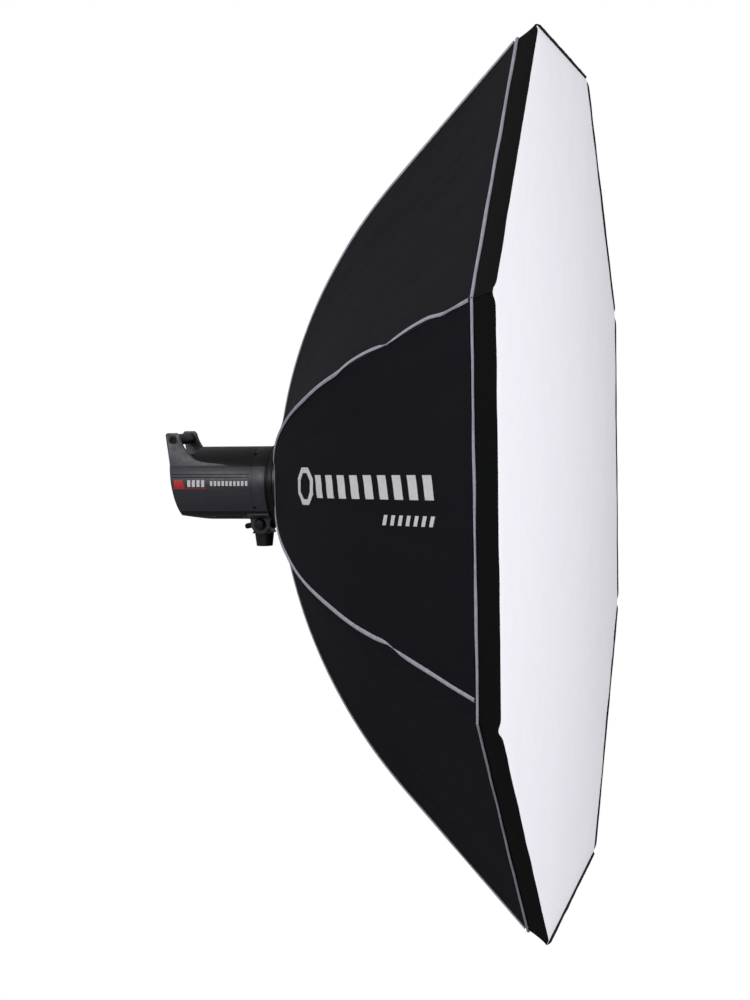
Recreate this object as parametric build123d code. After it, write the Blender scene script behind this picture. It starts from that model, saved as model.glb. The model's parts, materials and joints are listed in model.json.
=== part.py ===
from build123d import *
import math
import os

# A 175 cm octabox on a studio flash head, with the head's tilting stand socket.
#
# Frame, in millimetres: the origin is the centre of the stand socket's mouth, +Z is up, the light
# points along -Y and the head's back along +Y. The octabox turns about the optical axis, a line
# along Y at the height OPTICAL_HEIGHT. Pieces of the octabox are drawn in a local frame with the
# optical axis on Y and the piece's own radial direction on Z, then turned and lifted into place.

# Octabox, driving dimensions
SIDES = 8
HALF_FLAT_FRONT = 808.4     # optical axis to the middle of a side, at the front edge
HALF_FLAT_RIM = 786.7       # the same, at the rear rim of the lip
LIP_DEPTH = 40.0
FRONT_Y = -614.0            # the front edge's plane
HUB_RADIUS = 108.0          # where the fabric's profile starts, in a rod's plane
HUB_Y = -54.0
HUB_SLOPE = 14.0            # degrees forward of radial
RIM_SLOPE = 44.5
FABRIC = 1.2
SHEET = 1.0
GORE_START = 114.0          # radius where the gores' hub edge lies
RIM_SEAM = 7.0              # the gores stop this far before the rim corner

INNER_DIFFUSER_Y = -314.0
INNER_DIFFUSER_HALF = 420.0
STRAP_END = 556.0
HEM_WIDTH = 24.0
SKIRT_HALF = 75.5            # the skirt's elastic hem, round the adaptor
SKIRT_Y = -46.0

# Rods and their feet
ROD_RADIUS = 4.0
ROD_DEPTH = 9.0             # rod centre below the fabric's outer face
ROD_TIP_GAP = 12.0
FOOT_RADIUS = 6.0
FOOT_LENGTH = 52.0
FOOT_START = 11.0
BARREL_RADIUS = 6.0
BARREL_HALF = 6.7
PIN_RADIUS = 2.5
PIN_CLEARANCE = 0.05
LUG_INNER = 7.0             # half the gap between a clevis's two cheeks
LUG_OUTER = 11.0

# Speedring and adaptor
RING_OUTER = 90.0
RING_INNER = 58.3
RING_HALF = 7.0
HUB_TUBE_OUTER = 58.0
HUB_TUBE_INNER = 53.0
SHOULDER_RADIUS = 66.0
ADAPTOR_RADIUS = 71.0
RUNNING_GAP = 0.3
COVER_THICKNESS = 4.0
COVER_OUTER = 70.0
COVER_SCREWS = 6
COVER_SCREW_CIRCLE = 55.5
COVER_SCREW_RADIUS = 1.45
CLAWS = 3

# Flash head
OPTICAL_HEIGHT = 128.0
HEAD_RADIUS = 72.5
HEAD_DROP = 2.0             # the head's own axis lies this far below the optical axis
HEAD_FRONT = -23.0
LOCK_RING_FRONT = -38.0
WALL = 3.0
REAR_Y = 169.0              # the rear face's plane at the optical axis
REAR_TILT = 8.4
PANEL_TOP = 34.0            # above the optical axis: the side shells' upper edge
BASE_HALF_ANGLE = 42.0      # the base cover's half width, degrees from straight down
SHELL_GAP = 0.15
TAIL_CHAMFER = 65.0         # the chamfer under the tail starts this far before the rear face
TAIL_SLOPE = 0.175
COLLAR_Y = 4.0              # the fine groove behind the shell's front collar
COLLAR_HOLE = 3.2           # the case screws' holes in the collar
CASE_SCREW_ANGLES = (36, 130)   # where those holes are, degrees from straight up on either side
GROOVE_HEIGHTS = (18.5, 12.5, -15.5, -21.0)
GROOVE_WIDTH = 2.0
GROOVE_DEPTH = 1.2
EAR_TOP = 100.0
EAR_THICKNESS = 8.0
EAR_BASE_X = 62.5
EAR_TOP_X = 57.0
BAR_RADIUS = 11.0
BAR_Y = 168.0
BAR_Z = 86.0
BAR_SCREW = 2.1
BAR_CAP = 7.4               # the handle screws' cap radius
RECESS_FRONT = 112.0
RECESS_HALF = 46.0
VENT_SLOTS = 9
VENT_PITCH = 6.2

# Flash tube, lamp and dome, in front of the head
TUBE_LOOP = 19.0            # the bend's radius, and the legs' distance from the axis
TUBE_RADIUS = 3.2
LAMP_RADIUS = 6.0
DOME_OUTER = 30.0
GLASS = 2.0

# Rear panel layout: (u, v) of each control
DISPLAY_AT, DISPLAY_SIZE = (0.0, 16.0), (44.0, 18.0)
DIAL_AT, DIAL_RADIUS = (28.0, -10.0), 10.0
SPINDLE_RADIUS = 3.0
TEST_AT, MODE_AT, BUTTON_RADIUS = (-4.0, -8.0), (-26.0, -8.0), 5.0
ROCKER_AT, ROCKER_SIZE = (24.0, -38.0), (13.0, 19.0)
INLET_AT, INLET_SIZE = (-10.0, -40.0), (28.0, 20.0)
FUSE_AT, FUSE_RADIUS = (-38.0, -34.0), 6.0
SENSOR_AT, SENSOR_RADIUS = (40.0, 14.0), 5.0
CONTROL_GAP = 0.4

# Stand side
PIVOT_Z = 45.0
LUG_RADIUS = 8.0
LUG_HALF_X = 22.0
FORK_X = 22.5
FORK_THICKNESS = 6.0
FORK_RADIUS = 19.0
FORK_TOP_HALF = 22.0
SADDLE = 3.0                # thickness of a fork bracket's curved foot
BOLT_RADIUS = 4.0
DOME_RADIUS = 12.0          # the tilt bolt's head
SOCKET_BORE = 8.0
SOCKET_DEPTH = 32.0
MOUTH_RADIUS = 16.0
BLOCK_RADIUS = 19.5
SHOULDER_Z = 26.0
SCREW_Z = 12.0
SCREW_RADIUS = 3.0
LEVER_ANGLE = 11.0
LEVER_REACH = 48.0

HALF_STEP = math.radians(180 / SIDES)
STEP = 360 / SIDES
COS_HALF = math.cos(HALF_STEP)
RIM_CORNER = HALF_FLAT_RIM / COS_HALF
RIM_Y = FRONT_Y + LIP_DEPTH
FAR = 2000.0
UPRIGHT = (Align.CENTER, Align.CENTER, Align.MIN)
HANGING = (Align.CENTER, Align.CENTER, Align.MAX)
ACROSS = Rot(0, 90, 0)      # lays a cylinder along X
ALONG = Rot(90, 0, 0)       # lays a cylinder along Y

# The fabric's profile in a rod's plane is an arc tangent to a straight run. Its bow radius and
# straight length follow from the two slopes and the two end points.
SIN_A, COS_A = math.sin(math.radians(HUB_SLOPE)), math.cos(math.radians(HUB_SLOPE))
SIN_B, COS_B = math.sin(math.radians(RIM_SLOPE)), math.cos(math.radians(RIM_SLOPE))
RISE, RUN = RIM_CORNER - HUB_RADIUS, HUB_Y - RIM_Y
STRAIGHT = ((COS_A - COS_B) * RISE - (SIN_B - SIN_A) * RUN) / (
    (COS_A - COS_B) * COS_B - (SIN_B - SIN_A) * SIN_B
)
BOW = (RISE - STRAIGHT * COS_B) / (SIN_B - SIN_A)
PIVOT_RADIUS = HUB_RADIUS - ROD_DEPTH * SIN_A
PIVOT_Y = HUB_Y - ROD_DEPTH * COS_A


def profile_point(slope, inward=0.0, along=0.0):
    """The profile's point (Y, radius) at a slope in degrees, moved inward and along the tangent."""
    s, c = math.sin(math.radians(slope)), math.cos(math.radians(slope))
    radius = HUB_RADIUS + BOW * (s - SIN_A) - inward * s + along * c
    y = HUB_Y - BOW * (COS_A - c) - inward * c - along * s
    return y, radius


def slope_at(radius):
    """The slope in degrees where the bowed part of the profile reaches a radius."""
    return math.degrees(math.asin(SIN_A + (radius - HUB_RADIUS) / BOW))


def profile_run(inward, start_slope, end_gap):
    """The profile as an arc and a straight run, end_gap short of the rim corner."""
    middle = (start_slope + RIM_SLOPE) / 2
    arc = ThreePointArc(
        profile_point(start_slope, inward),
        profile_point(middle, inward),
        profile_point(RIM_SLOPE, inward),
    )
    line = Line(
        profile_point(RIM_SLOPE, inward), profile_point(RIM_SLOPE, inward, STRAIGHT - end_gap)
    )
    return arc, line


def profile_band(outer, inner, start_slope, end_gap):
    """A thin face between two offsets of the profile, in the plane of Y and the radius."""
    arc_a, line_a = profile_run(outer, start_slope, end_gap)
    arc_b, line_b = profile_run(inner, start_slope, end_gap)
    ends = Line(line_a @ 1, line_b @ 1), Line(arc_b @ 0, arc_a @ 0)
    flat = make_face(Curve() + [arc_a, line_a, ends[0], line_b, arc_b, ends[1]])
    return Plane.YZ * flat


def turned(shape, degrees):
    """A local shape turned about the optical axis and lifted to its height."""
    return Pos(0, 0, OPTICAL_HEIGHT) * (Rot(0, degrees, 0) * shape)


def rod_angle(k):
    """The angle of rod k, counted from straight up towards +X."""
    return STEP * (k - 0.5)


def ring(outer, inner, y_from, y_to):
    """A flat ring about the optical axis, between two planes across it."""
    middle, depth = (y_from + y_to) / 2, abs(y_to - y_from)
    shape = Cylinder(outer, depth) - Cylinder(inner, depth + 2)
    return Pos(0, middle, 0) * (ALONG * shape)


def octagon_prism(half_flat, y_from, y_to):
    """A solid octagon between two planes across the optical axis, with level top and bottom."""
    flat = RegularPolygon(half_flat / COS_HALF, SIDES, rotation=180 / SIDES)
    solid = extrude(Plane.XZ * flat, y_from - y_to)
    return Pos(0, y_from, 0) * solid


def octagon_frustum(back_half, back_y, front_half, front_y):
    """A solid octagon that widens from one plane to another."""
    back = Plane.XZ * RegularPolygon(back_half / COS_HALF, SIDES, rotation=180 / SIDES)
    front = Plane.XZ * RegularPolygon(front_half / COS_HALF, SIDES, rotation=180 / SIDES)
    return loft([Pos(0, back_y, 0) * back, Pos(0, front_y, 0) * front])


def gore():
    """One gore, its middle straight up: the profile drawn along its chord between two rods."""
    start = slope_at(GORE_START)
    band = Rot(0, -180 / SIDES, 0) * profile_band(0.0, FABRIC, start, RIM_SEAM)
    slab = extrude(band, RIM_CORNER, dir=(1, 0, 0))
    reach = 1.2 * RIM_CORNER
    wedge_flat = Polygon(
        (0, 0), (reach * math.tan(HALF_STEP), reach), (-reach * math.tan(HALF_STEP), reach),
        align=None,
    )
    wedge = Pos(0, FAR / 2, 0) * extrude(Plane.XZ * wedge_flat, FAR)
    return slab & wedge


def rod():
    """One bowed rod, its plane straight up, from inside its foot to inside its tip pocket."""
    lift = math.degrees((FOOT_START + 3) / (BOW - ROD_DEPTH))
    arc, line = profile_run(ROD_DEPTH, HUB_SLOPE + lift, ROD_TIP_GAP)
    path = Plane.YZ * (Curve() + [arc, line])
    section = Plane(path @ 0, z_dir=path % 0) * Circle(ROD_RADIUS)
    return sweep(section, path)


def rod_foot():
    """The hinged socket at a rod's inner end: a barrel on the pin and a tube round the rod."""
    barrel = ACROSS * Cylinder(BARREL_RADIUS, 2 * BARREL_HALF)
    bore = ACROSS * Cylinder(PIN_RADIUS + PIN_CLEARANCE, 4 * BARREL_HALF)
    along = HUB_SLOPE + math.degrees(FOOT_LENGTH / 2 / BOW)
    tube = Pos(0, 0, FOOT_LENGTH / 2 + 2) * Cylinder(FOOT_RADIUS, FOOT_LENGTH)
    body = barrel + Rot(along, 0, 0) * tube - bore
    return Pos(0, PIVOT_Y, PIVOT_RADIUS) * body - rod()


def speedring():
    """The ring that carries the rods, with a clevis of two cheeks for each foot."""
    made = ring(RING_OUTER, RING_INNER, PIVOT_Y - RING_HALF, PIVOT_Y + RING_HALF)
    reach = PIVOT_RADIUS - RING_OUTER + 4
    thick = LUG_OUTER - LUG_INNER
    for k in range(1, SIDES + 1):
        for side in (-1, 1):
            x = side * (LUG_INNER + thick / 2)
            web = Pos(x, PIVOT_Y, PIVOT_RADIUS - reach / 2) * Box(thick, 2 * BARREL_RADIUS, reach)
            eye = Pos(x, PIVOT_Y, PIVOT_RADIUS) * (ACROSS * Cylinder(BARREL_RADIUS, thick))
            hole = Pos(x, PIVOT_Y, PIVOT_RADIUS) * (ACROSS * Cylinder(PIN_RADIUS, thick + 2))
            made += Rot(0, rod_angle(k), 0) * (web + eye - hole)
    return turned(made, 0)


def hinge_pin():
    """One foot's pin, with a flat head outside each cheek."""
    shank = ACROSS * Cylinder(PIN_RADIUS, 2 * LUG_OUTER)
    heads = [
        Pos(side * (LUG_OUTER + 0.6), 0, 0) * (ACROSS * Cylinder(1.6 * PIN_RADIUS, 1.2))
        for side in (-1, 1)
    ]
    return Pos(0, PIVOT_Y, PIVOT_RADIUS) * (shank + heads)


def bayonet_insert():
    """The adaptor on the head: a flange behind, a shoulder, and the tube the speedring runs on."""
    ring_back = PIVOT_Y + RING_HALF + RUNNING_GAP
    cover_back = PIVOT_Y - RING_HALF - RUNNING_GAP
    flange = ring(ADAPTOR_RADIUS, HUB_TUBE_INNER, ring_back + 10, LOCK_RING_FRONT - RUNNING_GAP)
    shoulder = ring(SHOULDER_RADIUS, HUB_TUBE_INNER, ring_back, ring_back + 10)
    tube = ring(HUB_TUBE_OUTER, HUB_TUBE_INNER, cover_back, ring_back)
    neck = ring(HUB_TUBE_OUTER, HUB_TUBE_INNER, LOCK_RING_FRONT - 1, HEAD_FRONT)
    made = flange + shoulder + tube + neck
    for k in range(CLAWS):
        claw = Pos(0, HEAD_FRONT - 3, HUB_TUBE_OUTER + 1) * Box(18, 4, 4)
        made += Rot(0, k * 360 / CLAWS, 0) * claw
    return turned(made, 0)


def retaining_ring():
    """The cover that keeps the speedring on its tube, drilled for its screws."""
    back = PIVOT_Y - RING_HALF - RUNNING_GAP
    made = ring(COVER_OUTER, HUB_TUBE_INNER, back - COVER_THICKNESS, back)
    for k in range(COVER_SCREWS):
        drill = Cylinder(COVER_SCREW_RADIUS + 0.05, 3 * COVER_THICKNESS)
        hole = Pos(0, back, COVER_SCREW_CIRCLE) * (ALONG * drill)
        made -= Rot(0, k * 360 / COVER_SCREWS, 0) * hole
    return turned(made, 0)


def retaining_screws():
    """Six pan-head screws through the retaining ring."""
    back = PIVOT_Y - RING_HALF - RUNNING_GAP
    front = back - COVER_THICKNESS
    screws = []
    for k in range(COVER_SCREWS):
        shank = Pos(0, COVER_THICKNESS / 2, 0) * (ALONG * Cylinder(COVER_SCREW_RADIUS, COVER_THICKNESS))
        cap = Pos(0, -1, 0) * (ALONG * Cylinder(2.4, 2))
        screw = Pos(0, front, COVER_SCREW_CIRCLE) * (shank + cap)
        screws.append(turned(screw, k * 360 / COVER_SCREWS))
    return Compound(children=screws)


def around(make):
    """Eight copies of a local piece, one in each rod's plane, as separate solids."""
    return Compound(children=[turned(make(), rod_angle(k)) for k in range(1, SIDES + 1)])


def rod_tape():
    """The flat tape sewn over one rod."""
    band = profile_band(-1.3, -0.3, slope_at(GORE_START + 6), RIM_SEAM)
    return extrude(band, 4.0, both=True)


def tip_pocket():
    """The closed sleeve that holds one rod's tip."""
    inner_end = profile_point(RIM_SLOPE, ROD_DEPTH, STRAIGHT - 50)
    outer = Cylinder(6.2, 44, align=UPRIGHT)
    hollow = Cylinder(4.4, 40, align=UPRIGHT)
    sleeve = Rot(RIM_SLOPE, 0, 0) * (outer - hollow)
    return Pos(0, *inner_end) * sleeve


def diffuser_strap():
    """One elastic strap from the inner diffuser's corner to a rod."""
    y = INNER_DIFFUSER_Y
    from_r = INNER_DIFFUSER_HALF / COS_HALF + 2
    return Pos(0, y, (from_r + STRAP_END) / 2) * Box(10, 1.2, STRAP_END - from_r)


def rear_skirt():
    """The elastic skirt from the gores' hub edge to the adaptor, eight-sided like the edge."""
    front_half, front_y = GORE_START * COS_HALF - 2.2, HUB_Y - 1.4
    outer = octagon_frustum(SKIRT_HALF, SKIRT_Y, front_half, front_y)
    inner = octagon_frustum(SKIRT_HALF, SKIRT_Y - FABRIC, front_half, front_y - FABRIC)
    bore = octagon_prism(SKIRT_HALF, SKIRT_Y + 20, front_y - 20)
    return turned(outer - inner - bore, 0)


def hub_piping():
    """The tape round the gores' hub edge, an octagon that stands just behind them."""
    half, front = GORE_START * COS_HALF, HUB_Y - 1.0
    outer = octagon_prism(half + 3.0, front + 1.6, front)
    return turned(outer - octagon_prism(half - 1.8, front + 3, front - 2), 0)


def head_solid(shrink=0.0, front=HEAD_FRONT, rear=None):
    """The head's round body, cut by the leaning rear face, smaller by shrink, or by rear at that face."""
    length = REAR_Y - front + 60
    round_bar = Pos(0, front + length / 2, OPTICAL_HEIGHT - HEAD_DROP) * (
        Rot(90, 0, 0) * Cylinder(HEAD_RADIUS - shrink, length)
    )
    return round_bar - behind_rear(shrink if rear is None else rear) - tail_chamfer(shrink)


def rear_plane(offset=0.0):
    """The rear face's plane: its x runs to -X, its y up the face, its z out of the back."""
    lean = math.radians(REAR_TILT)
    normal = Vector(0, math.cos(lean), -math.sin(lean))
    return Plane(Vector(0, REAR_Y, OPTICAL_HEIGHT) + normal * offset, x_dir=(-1, 0, 0), z_dir=normal)


def behind_rear(shrink):
    """Everything behind the rear face."""
    return rear_plane(-shrink) * Box(400, 400, 200, align=UPRIGHT)


def tail_chamfer(shrink):
    """The wedge cut away under the tail."""
    y, z = REAR_Y - TAIL_CHAMFER - shrink, OPTICAL_HEIGHT - HEAD_DROP - HEAD_RADIUS + shrink
    run = 2 * TAIL_CHAMFER
    wedge = Polygon((y, z), (y + run, z + run * TAIL_SLOPE), (y + run, z - 40), (y, z - 40), align=None)
    return extrude(Plane.YZ * wedge, 100, both=True)


def sector(half_angle, centre_angle):
    """A wedge about the head's own axis, half_angle degrees each side of centre_angle from up."""
    reach = 200
    half = math.radians(half_angle)
    side = [(reach * math.sin(half), reach * math.cos(half)), (reach * math.tan(half / 2), reach)]
    flat = Polygon((0, 0), *side, *[(-x, z) for x, z in reversed(side)], align=None)
    wedge = extrude(Plane.XZ * flat, 600, both=True)
    return Pos(0, 0, OPTICAL_HEIGHT - HEAD_DROP) * (Rot(0, centre_angle, 0) * wedge)


def shell_wall():
    """The head's whole wall, open at the front and the back, before it is split into covers."""
    inside = head_solid(WALL, HEAD_FRONT - 1)
    open_back = head_solid(WALL, HEAD_FRONT + 10).moved(Location((0, 12, 0)))
    return head_solid() - inside - open_back


def above(height, gap):
    """Everything higher than a height above the optical axis, plus a gap."""
    return Pos(0, 0, OPTICAL_HEIGHT + height + gap) * Box(400, 900, 300, align=UPRIGHT)


def collar_holes(angle):
    """A case screw's hole on each side of the collar, angle degrees from straight up."""
    drill = Pos(0, COLLAR_Y / 2, HEAD_RADIUS) * Cylinder(COLLAR_HOLE, 4 * WALL)
    pair = [Rot(0, side * angle, 0) * drill for side in (-1, 1)]
    return Pos(0, 0, OPTICAL_HEIGHT - HEAD_DROP) * Compound(children=pair)


def collar_groove():
    """The fine groove round the shell behind its front collar."""
    groove = ring(HEAD_RADIUS + 1, HEAD_RADIUS - 0.7, COLLAR_Y, COLLAR_Y + 1.2)
    return Pos(0, 0, OPTICAL_HEIGHT - HEAD_DROP) * groove


def ear_outline():
    """An ear seen from the side: its front edge sweeps far forward into the shell's upper edge."""
    top, low = OPTICAL_HEIGHT + EAR_TOP, OPTICAL_HEIGHT + PANEL_TOP
    lean = math.tan(math.radians(REAR_TILT))
    back_top, back_low = REAR_Y + EAR_TOP * lean, REAR_Y + PANEL_TOP * lean
    front_top = back_top - 23
    tip = (front_top - 110, low)
    run = Polyline(
        tip, (front_top - 110, low - 4), (back_low - 1, low - 4), (back_top - 0.6, top - 3),
        (back_top - 4, top), (front_top, top), (front_top - 5, top - 5),
    )
    sweep_in = Spline(
        run @ 1, (front_top - 17, top - 33), (front_top - 36, top - 51), (front_top - 67, low + 7), tip
    )
    return make_face(Curve() + [run, sweep_in])


def ear_zone(side):
    """The space under an ear's outline, where the wall belongs to the side shell."""
    plan = extrude(Plane.YZ * ear_outline(), side * 100)
    inner = RECESS_HALF + 2.6
    return plan & Pos(side * (inner + 13), 120, OPTICAL_HEIGHT + 60) * Box(26, 260, 90)


def ear(side):
    """One handle ear, leaning in from the shell to the handle bar."""
    plan = extrude(Plane.YZ * ear_outline(), 100, both=True)
    low, top = OPTICAL_HEIGHT + PANEL_TOP - 4, OPTICAL_HEIGHT + EAR_TOP
    slab = Polygon(
        (EAR_BASE_X, low), (EAR_TOP_X, top), (EAR_TOP_X - EAR_THICKNESS, top),
        (EAR_BASE_X - EAR_THICKNESS - 5, low), align=None,
    )
    leaning = extrude(Plane.XZ * slab, 400, both=True)
    made = leaning & plan
    return made if side > 0 else mirror(made, Plane.YZ)


def ear_bolt_line(radius, half_length):
    """A bar through both ears, on the handle's own line."""
    return Pos(0, BAR_Y, OPTICAL_HEIGHT + BAR_Z) * (ACROSS * Cylinder(radius, 2 * half_length))


def side_shell(side):
    """A side shell: its share of the wall, the handle ear and two pairs of grooves."""
    upper = above(PANEL_TOP, -SHELL_GAP) - ear_zone(side)
    wall = shell_wall() - upper - sector(BASE_HALF_ANGLE + SHELL_GAP, 180)
    half = Pos(side * 100, 0, OPTICAL_HEIGHT) * Box(200, 900, 400)
    made = (wall & half) + ear(side)
    for z in GROOVE_HEIGHTS:
        x = side * math.sqrt(HEAD_RADIUS**2 - (z + HEAD_DROP) ** 2)
        groove = Box(2 * GROOVE_DEPTH, 200, GROOVE_WIDTH, align=(Align.CENTER, Align.MIN, Align.CENTER))
        made -= Pos(x, COLLAR_Y + 3, OPTICAL_HEIGHT + z) * groove
    seat = ACROSS * Cylinder(BAR_CAP + 0.2, 6)
    made -= Pos(side * (EAR_TOP_X + 1), BAR_Y, OPTICAL_HEIGHT + BAR_Z) * seat
    return made - collar_groove() - collar_holes(CASE_SCREW_ANGLES[1]) - ear_bolt_line(BAR_SCREW + 0.1, 100)


def top_cover():
    """The top cover, with the hand recess under the handle bar."""
    wall = shell_wall() & above(PANEL_TOP, SHELL_GAP)
    wall -= ear_zone(-1) + ear_zone(1)
    wall -= collar_groove() + collar_holes(CASE_SCREW_ANGLES[0])
    floor, foot = OPTICAL_HEIGHT + PANEL_TOP, RECESS_FRONT + 28
    cut = Pos(0, RECESS_FRONT, floor + WALL) * (
        Box(2 * RECESS_HALF, 200, 100, align=(Align.CENTER, Align.MIN, Align.MIN))
    )
    kept = Polygon(
        (RECESS_FRONT - 1, floor + 3), (foot, floor + 3), (RECESS_FRONT - 1, floor + 60), align=None
    )
    pan_front = Polygon(
        (foot, floor + 1), (foot + 3.5, floor + 1), (RECESS_FRONT, floor + 44),
        (RECESS_FRONT - 4, floor + 44), align=None,
    )
    pan_half = RECESS_HALF + 2.5
    slope = extrude(Plane.YZ * pan_front, pan_half, both=True)
    keep_front = extrude(Plane.YZ * kept, pan_half, both=True)
    pan = Pos(0, RECESS_FRONT + 20, floor + SHELL_GAP) * Box(
        2 * pan_half, 200, WALL, align=(Align.CENTER, Align.MIN, Align.MIN)
    )
    return (wall - (cut - keep_front)) + ((pan + slope) & head_solid(0.4))


def base_cover():
    """The base cover, with its row of cooling slots."""
    made = shell_wall() & sector(BASE_HALF_ANGLE, 180)
    for k in range(VENT_SLOTS):
        y = 40 + VENT_PITCH * k
        made -= Pos(0, y, OPTICAL_HEIGHT - HEAD_DROP - HEAD_RADIUS) * Box(62, VENT_PITCH / 2, 14)
    return made


def lock_ring():
    """The bayonet lock ring, with finger ribs round its rear half."""
    back = HEAD_FRONT - RUNNING_GAP
    made = ring(HEAD_RADIUS - 0.5, HUB_TUBE_OUTER + RUNNING_GAP, LOCK_RING_FRONT, back)
    made -= ring(HEAD_RADIUS + 1, HEAD_RADIUS - 2, LOCK_RING_FRONT + 9, back - 3)
    made -= ring(HUB_TUBE_OUTER + 4, HUB_TUBE_OUTER - 4, HEAD_FRONT - 5.4, HEAD_FRONT)
    return turned(made, 0)


def on_rear(shape, u, v, w=0.0):
    """A shape placed on the rear face: u towards -X, v up the face, w out of it."""
    return rear_plane() * (Pos(u, v, w) * shape)


def rear_panel():
    """The rear panel, set just inside the shells, with a cut-out for each control."""
    front, back = 2.0, 5.0
    slab = rear_plane(-front) * Box(400, 400, back - front, align=HANGING)
    made = head_solid(WALL + 0.2, rear=front) & slab
    made -= above(PANEL_TOP, -4.5)
    bezel = Box(ROCKER_SIZE[0] + 4, ROCKER_SIZE[1] + 4, 2.4, align=HANGING)
    made += on_rear(bezel, *ROCKER_AT, -0.4)
    windows = (DISPLAY_AT, DISPLAY_SIZE), (ROCKER_AT, ROCKER_SIZE), (INLET_AT, INLET_SIZE)
    for at, (wide, high) in windows:
        made -= on_rear(Box(wide + 2 * CONTROL_GAP, high + 2 * CONTROL_GAP, 30), *at)
    holes = (
        (DIAL_AT, SPINDLE_RADIUS), (TEST_AT, BUTTON_RADIUS), (MODE_AT, BUTTON_RADIUS),
        (FUSE_AT, FUSE_RADIUS), (SENSOR_AT, SENSOR_RADIUS),
    )
    for at, radius in holes:
        made -= on_rear(Cylinder(radius + CONTROL_GAP, 30), *at)
    return made


def dial():
    """The power dial on its spindle."""
    knob = Cylinder(DIAL_RADIUS, 11, align=UPRIGHT)
    flutes = [
        Rot(0, 0, 30 * k) * (Pos(DIAL_RADIUS + 0.8, 0, 6) * Cylinder(1.6, 12)) for k in range(12)
    ]
    spindle = Pos(0, 0, -9) * Cylinder(SPINDLE_RADIUS, 10, align=UPRIGHT)
    return on_rear((knob - flutes) + spindle, *DIAL_AT, -1.5)


def button(at):
    """A round push button with a stem behind the panel."""
    cap = Pos(0, 0, -4.4) * Cylinder(BUTTON_RADIUS, 7, align=UPRIGHT)
    stem = Pos(0, 0, -11) * Cylinder(2, 7, align=UPRIGHT)
    return on_rear(cap + stem, *at)


def rocker():
    """The power switch's rocker: two shallow slopes about its own pivot."""
    half = ROCKER_SIZE[1] / 2 - 1.2
    side = Polygon((-half, -7), (half, -7), (half, 1.2), (0, -0.4), (-half, 2.4), align=None)
    body = extrude(Plane.YZ * side, ROCKER_SIZE[0] / 2 - 0.3, both=True)
    return on_rear(body, *ROCKER_AT, -1.5)


def mains_inlet():
    """The three-pin inlet: a recessed shroud with its pins."""
    wide, high = INLET_SIZE
    flange = Pos(0, 0, -1.9) * Box(wide + 5, high + 5, 1.6, align=UPRIGHT)
    shroud = Pos(0, 0, -18) * Box(wide, high, 17, align=UPRIGHT)
    hollow = Pos(0, 0, -15) * Box(wide - 4, high - 4, 20, align=UPRIGHT)
    made = flange + shroud - hollow
    for u, v in ((-7, -2), (0, 3), (7, -2)):
        made += Pos(u, v, -16) * Box(2, 4, 10, align=UPRIGHT)
    return on_rear(made, *INLET_AT)


def plug_in(radius, proud, at, depth=8.0):
    """A round fitting through the rear panel: a stem and a wider domed head."""
    stem = Pos(0, 0, -depth) * Cylinder(radius, depth, align=UPRIGHT)
    cap = Pos(0, 0, -1.9) * Cylinder(radius + 2, proud, align=UPRIGHT)
    return on_rear(stem + cap, *at)


def display_window():
    """The display's window, a shallow block behind its cut-out."""
    return on_rear(Box(*DISPLAY_SIZE, 5.0, align=HANGING), *DISPLAY_AT, -2.2)


def before_head(shape, forward):
    """A shape of revolution laid along the optical axis, its middle this far before the head's front."""
    return Pos(0, HEAD_FRONT - forward, 0) * (ALONG * shape)


def lamp_carrier():
    """The plate at the head's front that holds the flash tube, the lamp and the dome."""
    plate = ring(HUB_TUBE_INNER - 0.5, 5, HEAD_FRONT - 5, HEAD_FRONT - 0.5)
    boss = ring(DOME_OUTER - 4, 5, HEAD_FRONT - 15, HEAD_FRONT - 5)
    return turned(plate + boss, 0) - flash_tube() - modelling_lamp()


def flash_tube():
    """The U-shaped flash tube, its bend in front of the lamp."""
    foot, bend = HEAD_FRONT - 5, HEAD_FRONT - 55
    legs = [Line((side * TUBE_LOOP, foot), (side * TUBE_LOOP, bend)) for side in (1, -1)]
    arc = ThreePointArc((TUBE_LOOP, bend), (0, bend - TUBE_LOOP), (-TUBE_LOOP, bend))
    path = Curve() + [legs[0], arc, legs[1]]
    section = Pos(TUBE_LOOP, foot, 0) * (Plane.XZ * Circle(TUBE_RADIUS))
    return turned(sweep(section, path), 0)


def modelling_lamp():
    """The halogen modelling lamp: a capsule on its base."""
    bulb = before_head(Cylinder(LAMP_RADIUS, 40), 37) + before_head(Sphere(LAMP_RADIUS), 57)
    return turned(bulb + before_head(Cylinder(1.5 * LAMP_RADIUS, 16), 9), 0)


def glass_dome():
    """The frosted glass dome over the flash tube."""
    inner_radius = DOME_OUTER - GLASS
    outer = before_head(Cylinder(DOME_OUTER, 60), 41) + before_head(Sphere(DOME_OUTER), 71)
    inner = before_head(Cylinder(inner_radius, 62), 41) + before_head(Sphere(inner_radius), 71)
    foot = ring(DOME_OUTER + 4, inner_radius, HEAD_FRONT - 15, HEAD_FRONT - 5.4)
    return turned(outer - inner + foot, 0)


def cooling_fan():
    """The axial fan: a frame, a hub and seven blades."""
    y, half, blade_count = 128.0, 6.0, 7
    frame = ring(44, 40, y - half, y + half)
    hub = ring(14, 3, y - half, y + half)
    spoke = Pos(0, y + half - 1, 27) * Box(4, 2, 27)
    blade = Pos(0, y - 1.5, 24) * (Rot(0, 0, 35) * Box(10, 1.2, 24))
    spokes = [Rot(0, 90 * k, 0) * spoke for k in range(4)]
    blades = [Rot(0, k * 360 / blade_count, 0) * blade for k in range(blade_count)]
    return Pos(0, 0, -12) * turned(frame + hub + spokes + blades, 0)


def capacitors():
    """Two flash capacitors side by side."""
    cans = [Pos(x, 62, OPTICAL_HEIGHT - 22) * (ALONG * Cylinder(22, 96)) for x in (-24, 24)]
    return Compound(children=cans)


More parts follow.
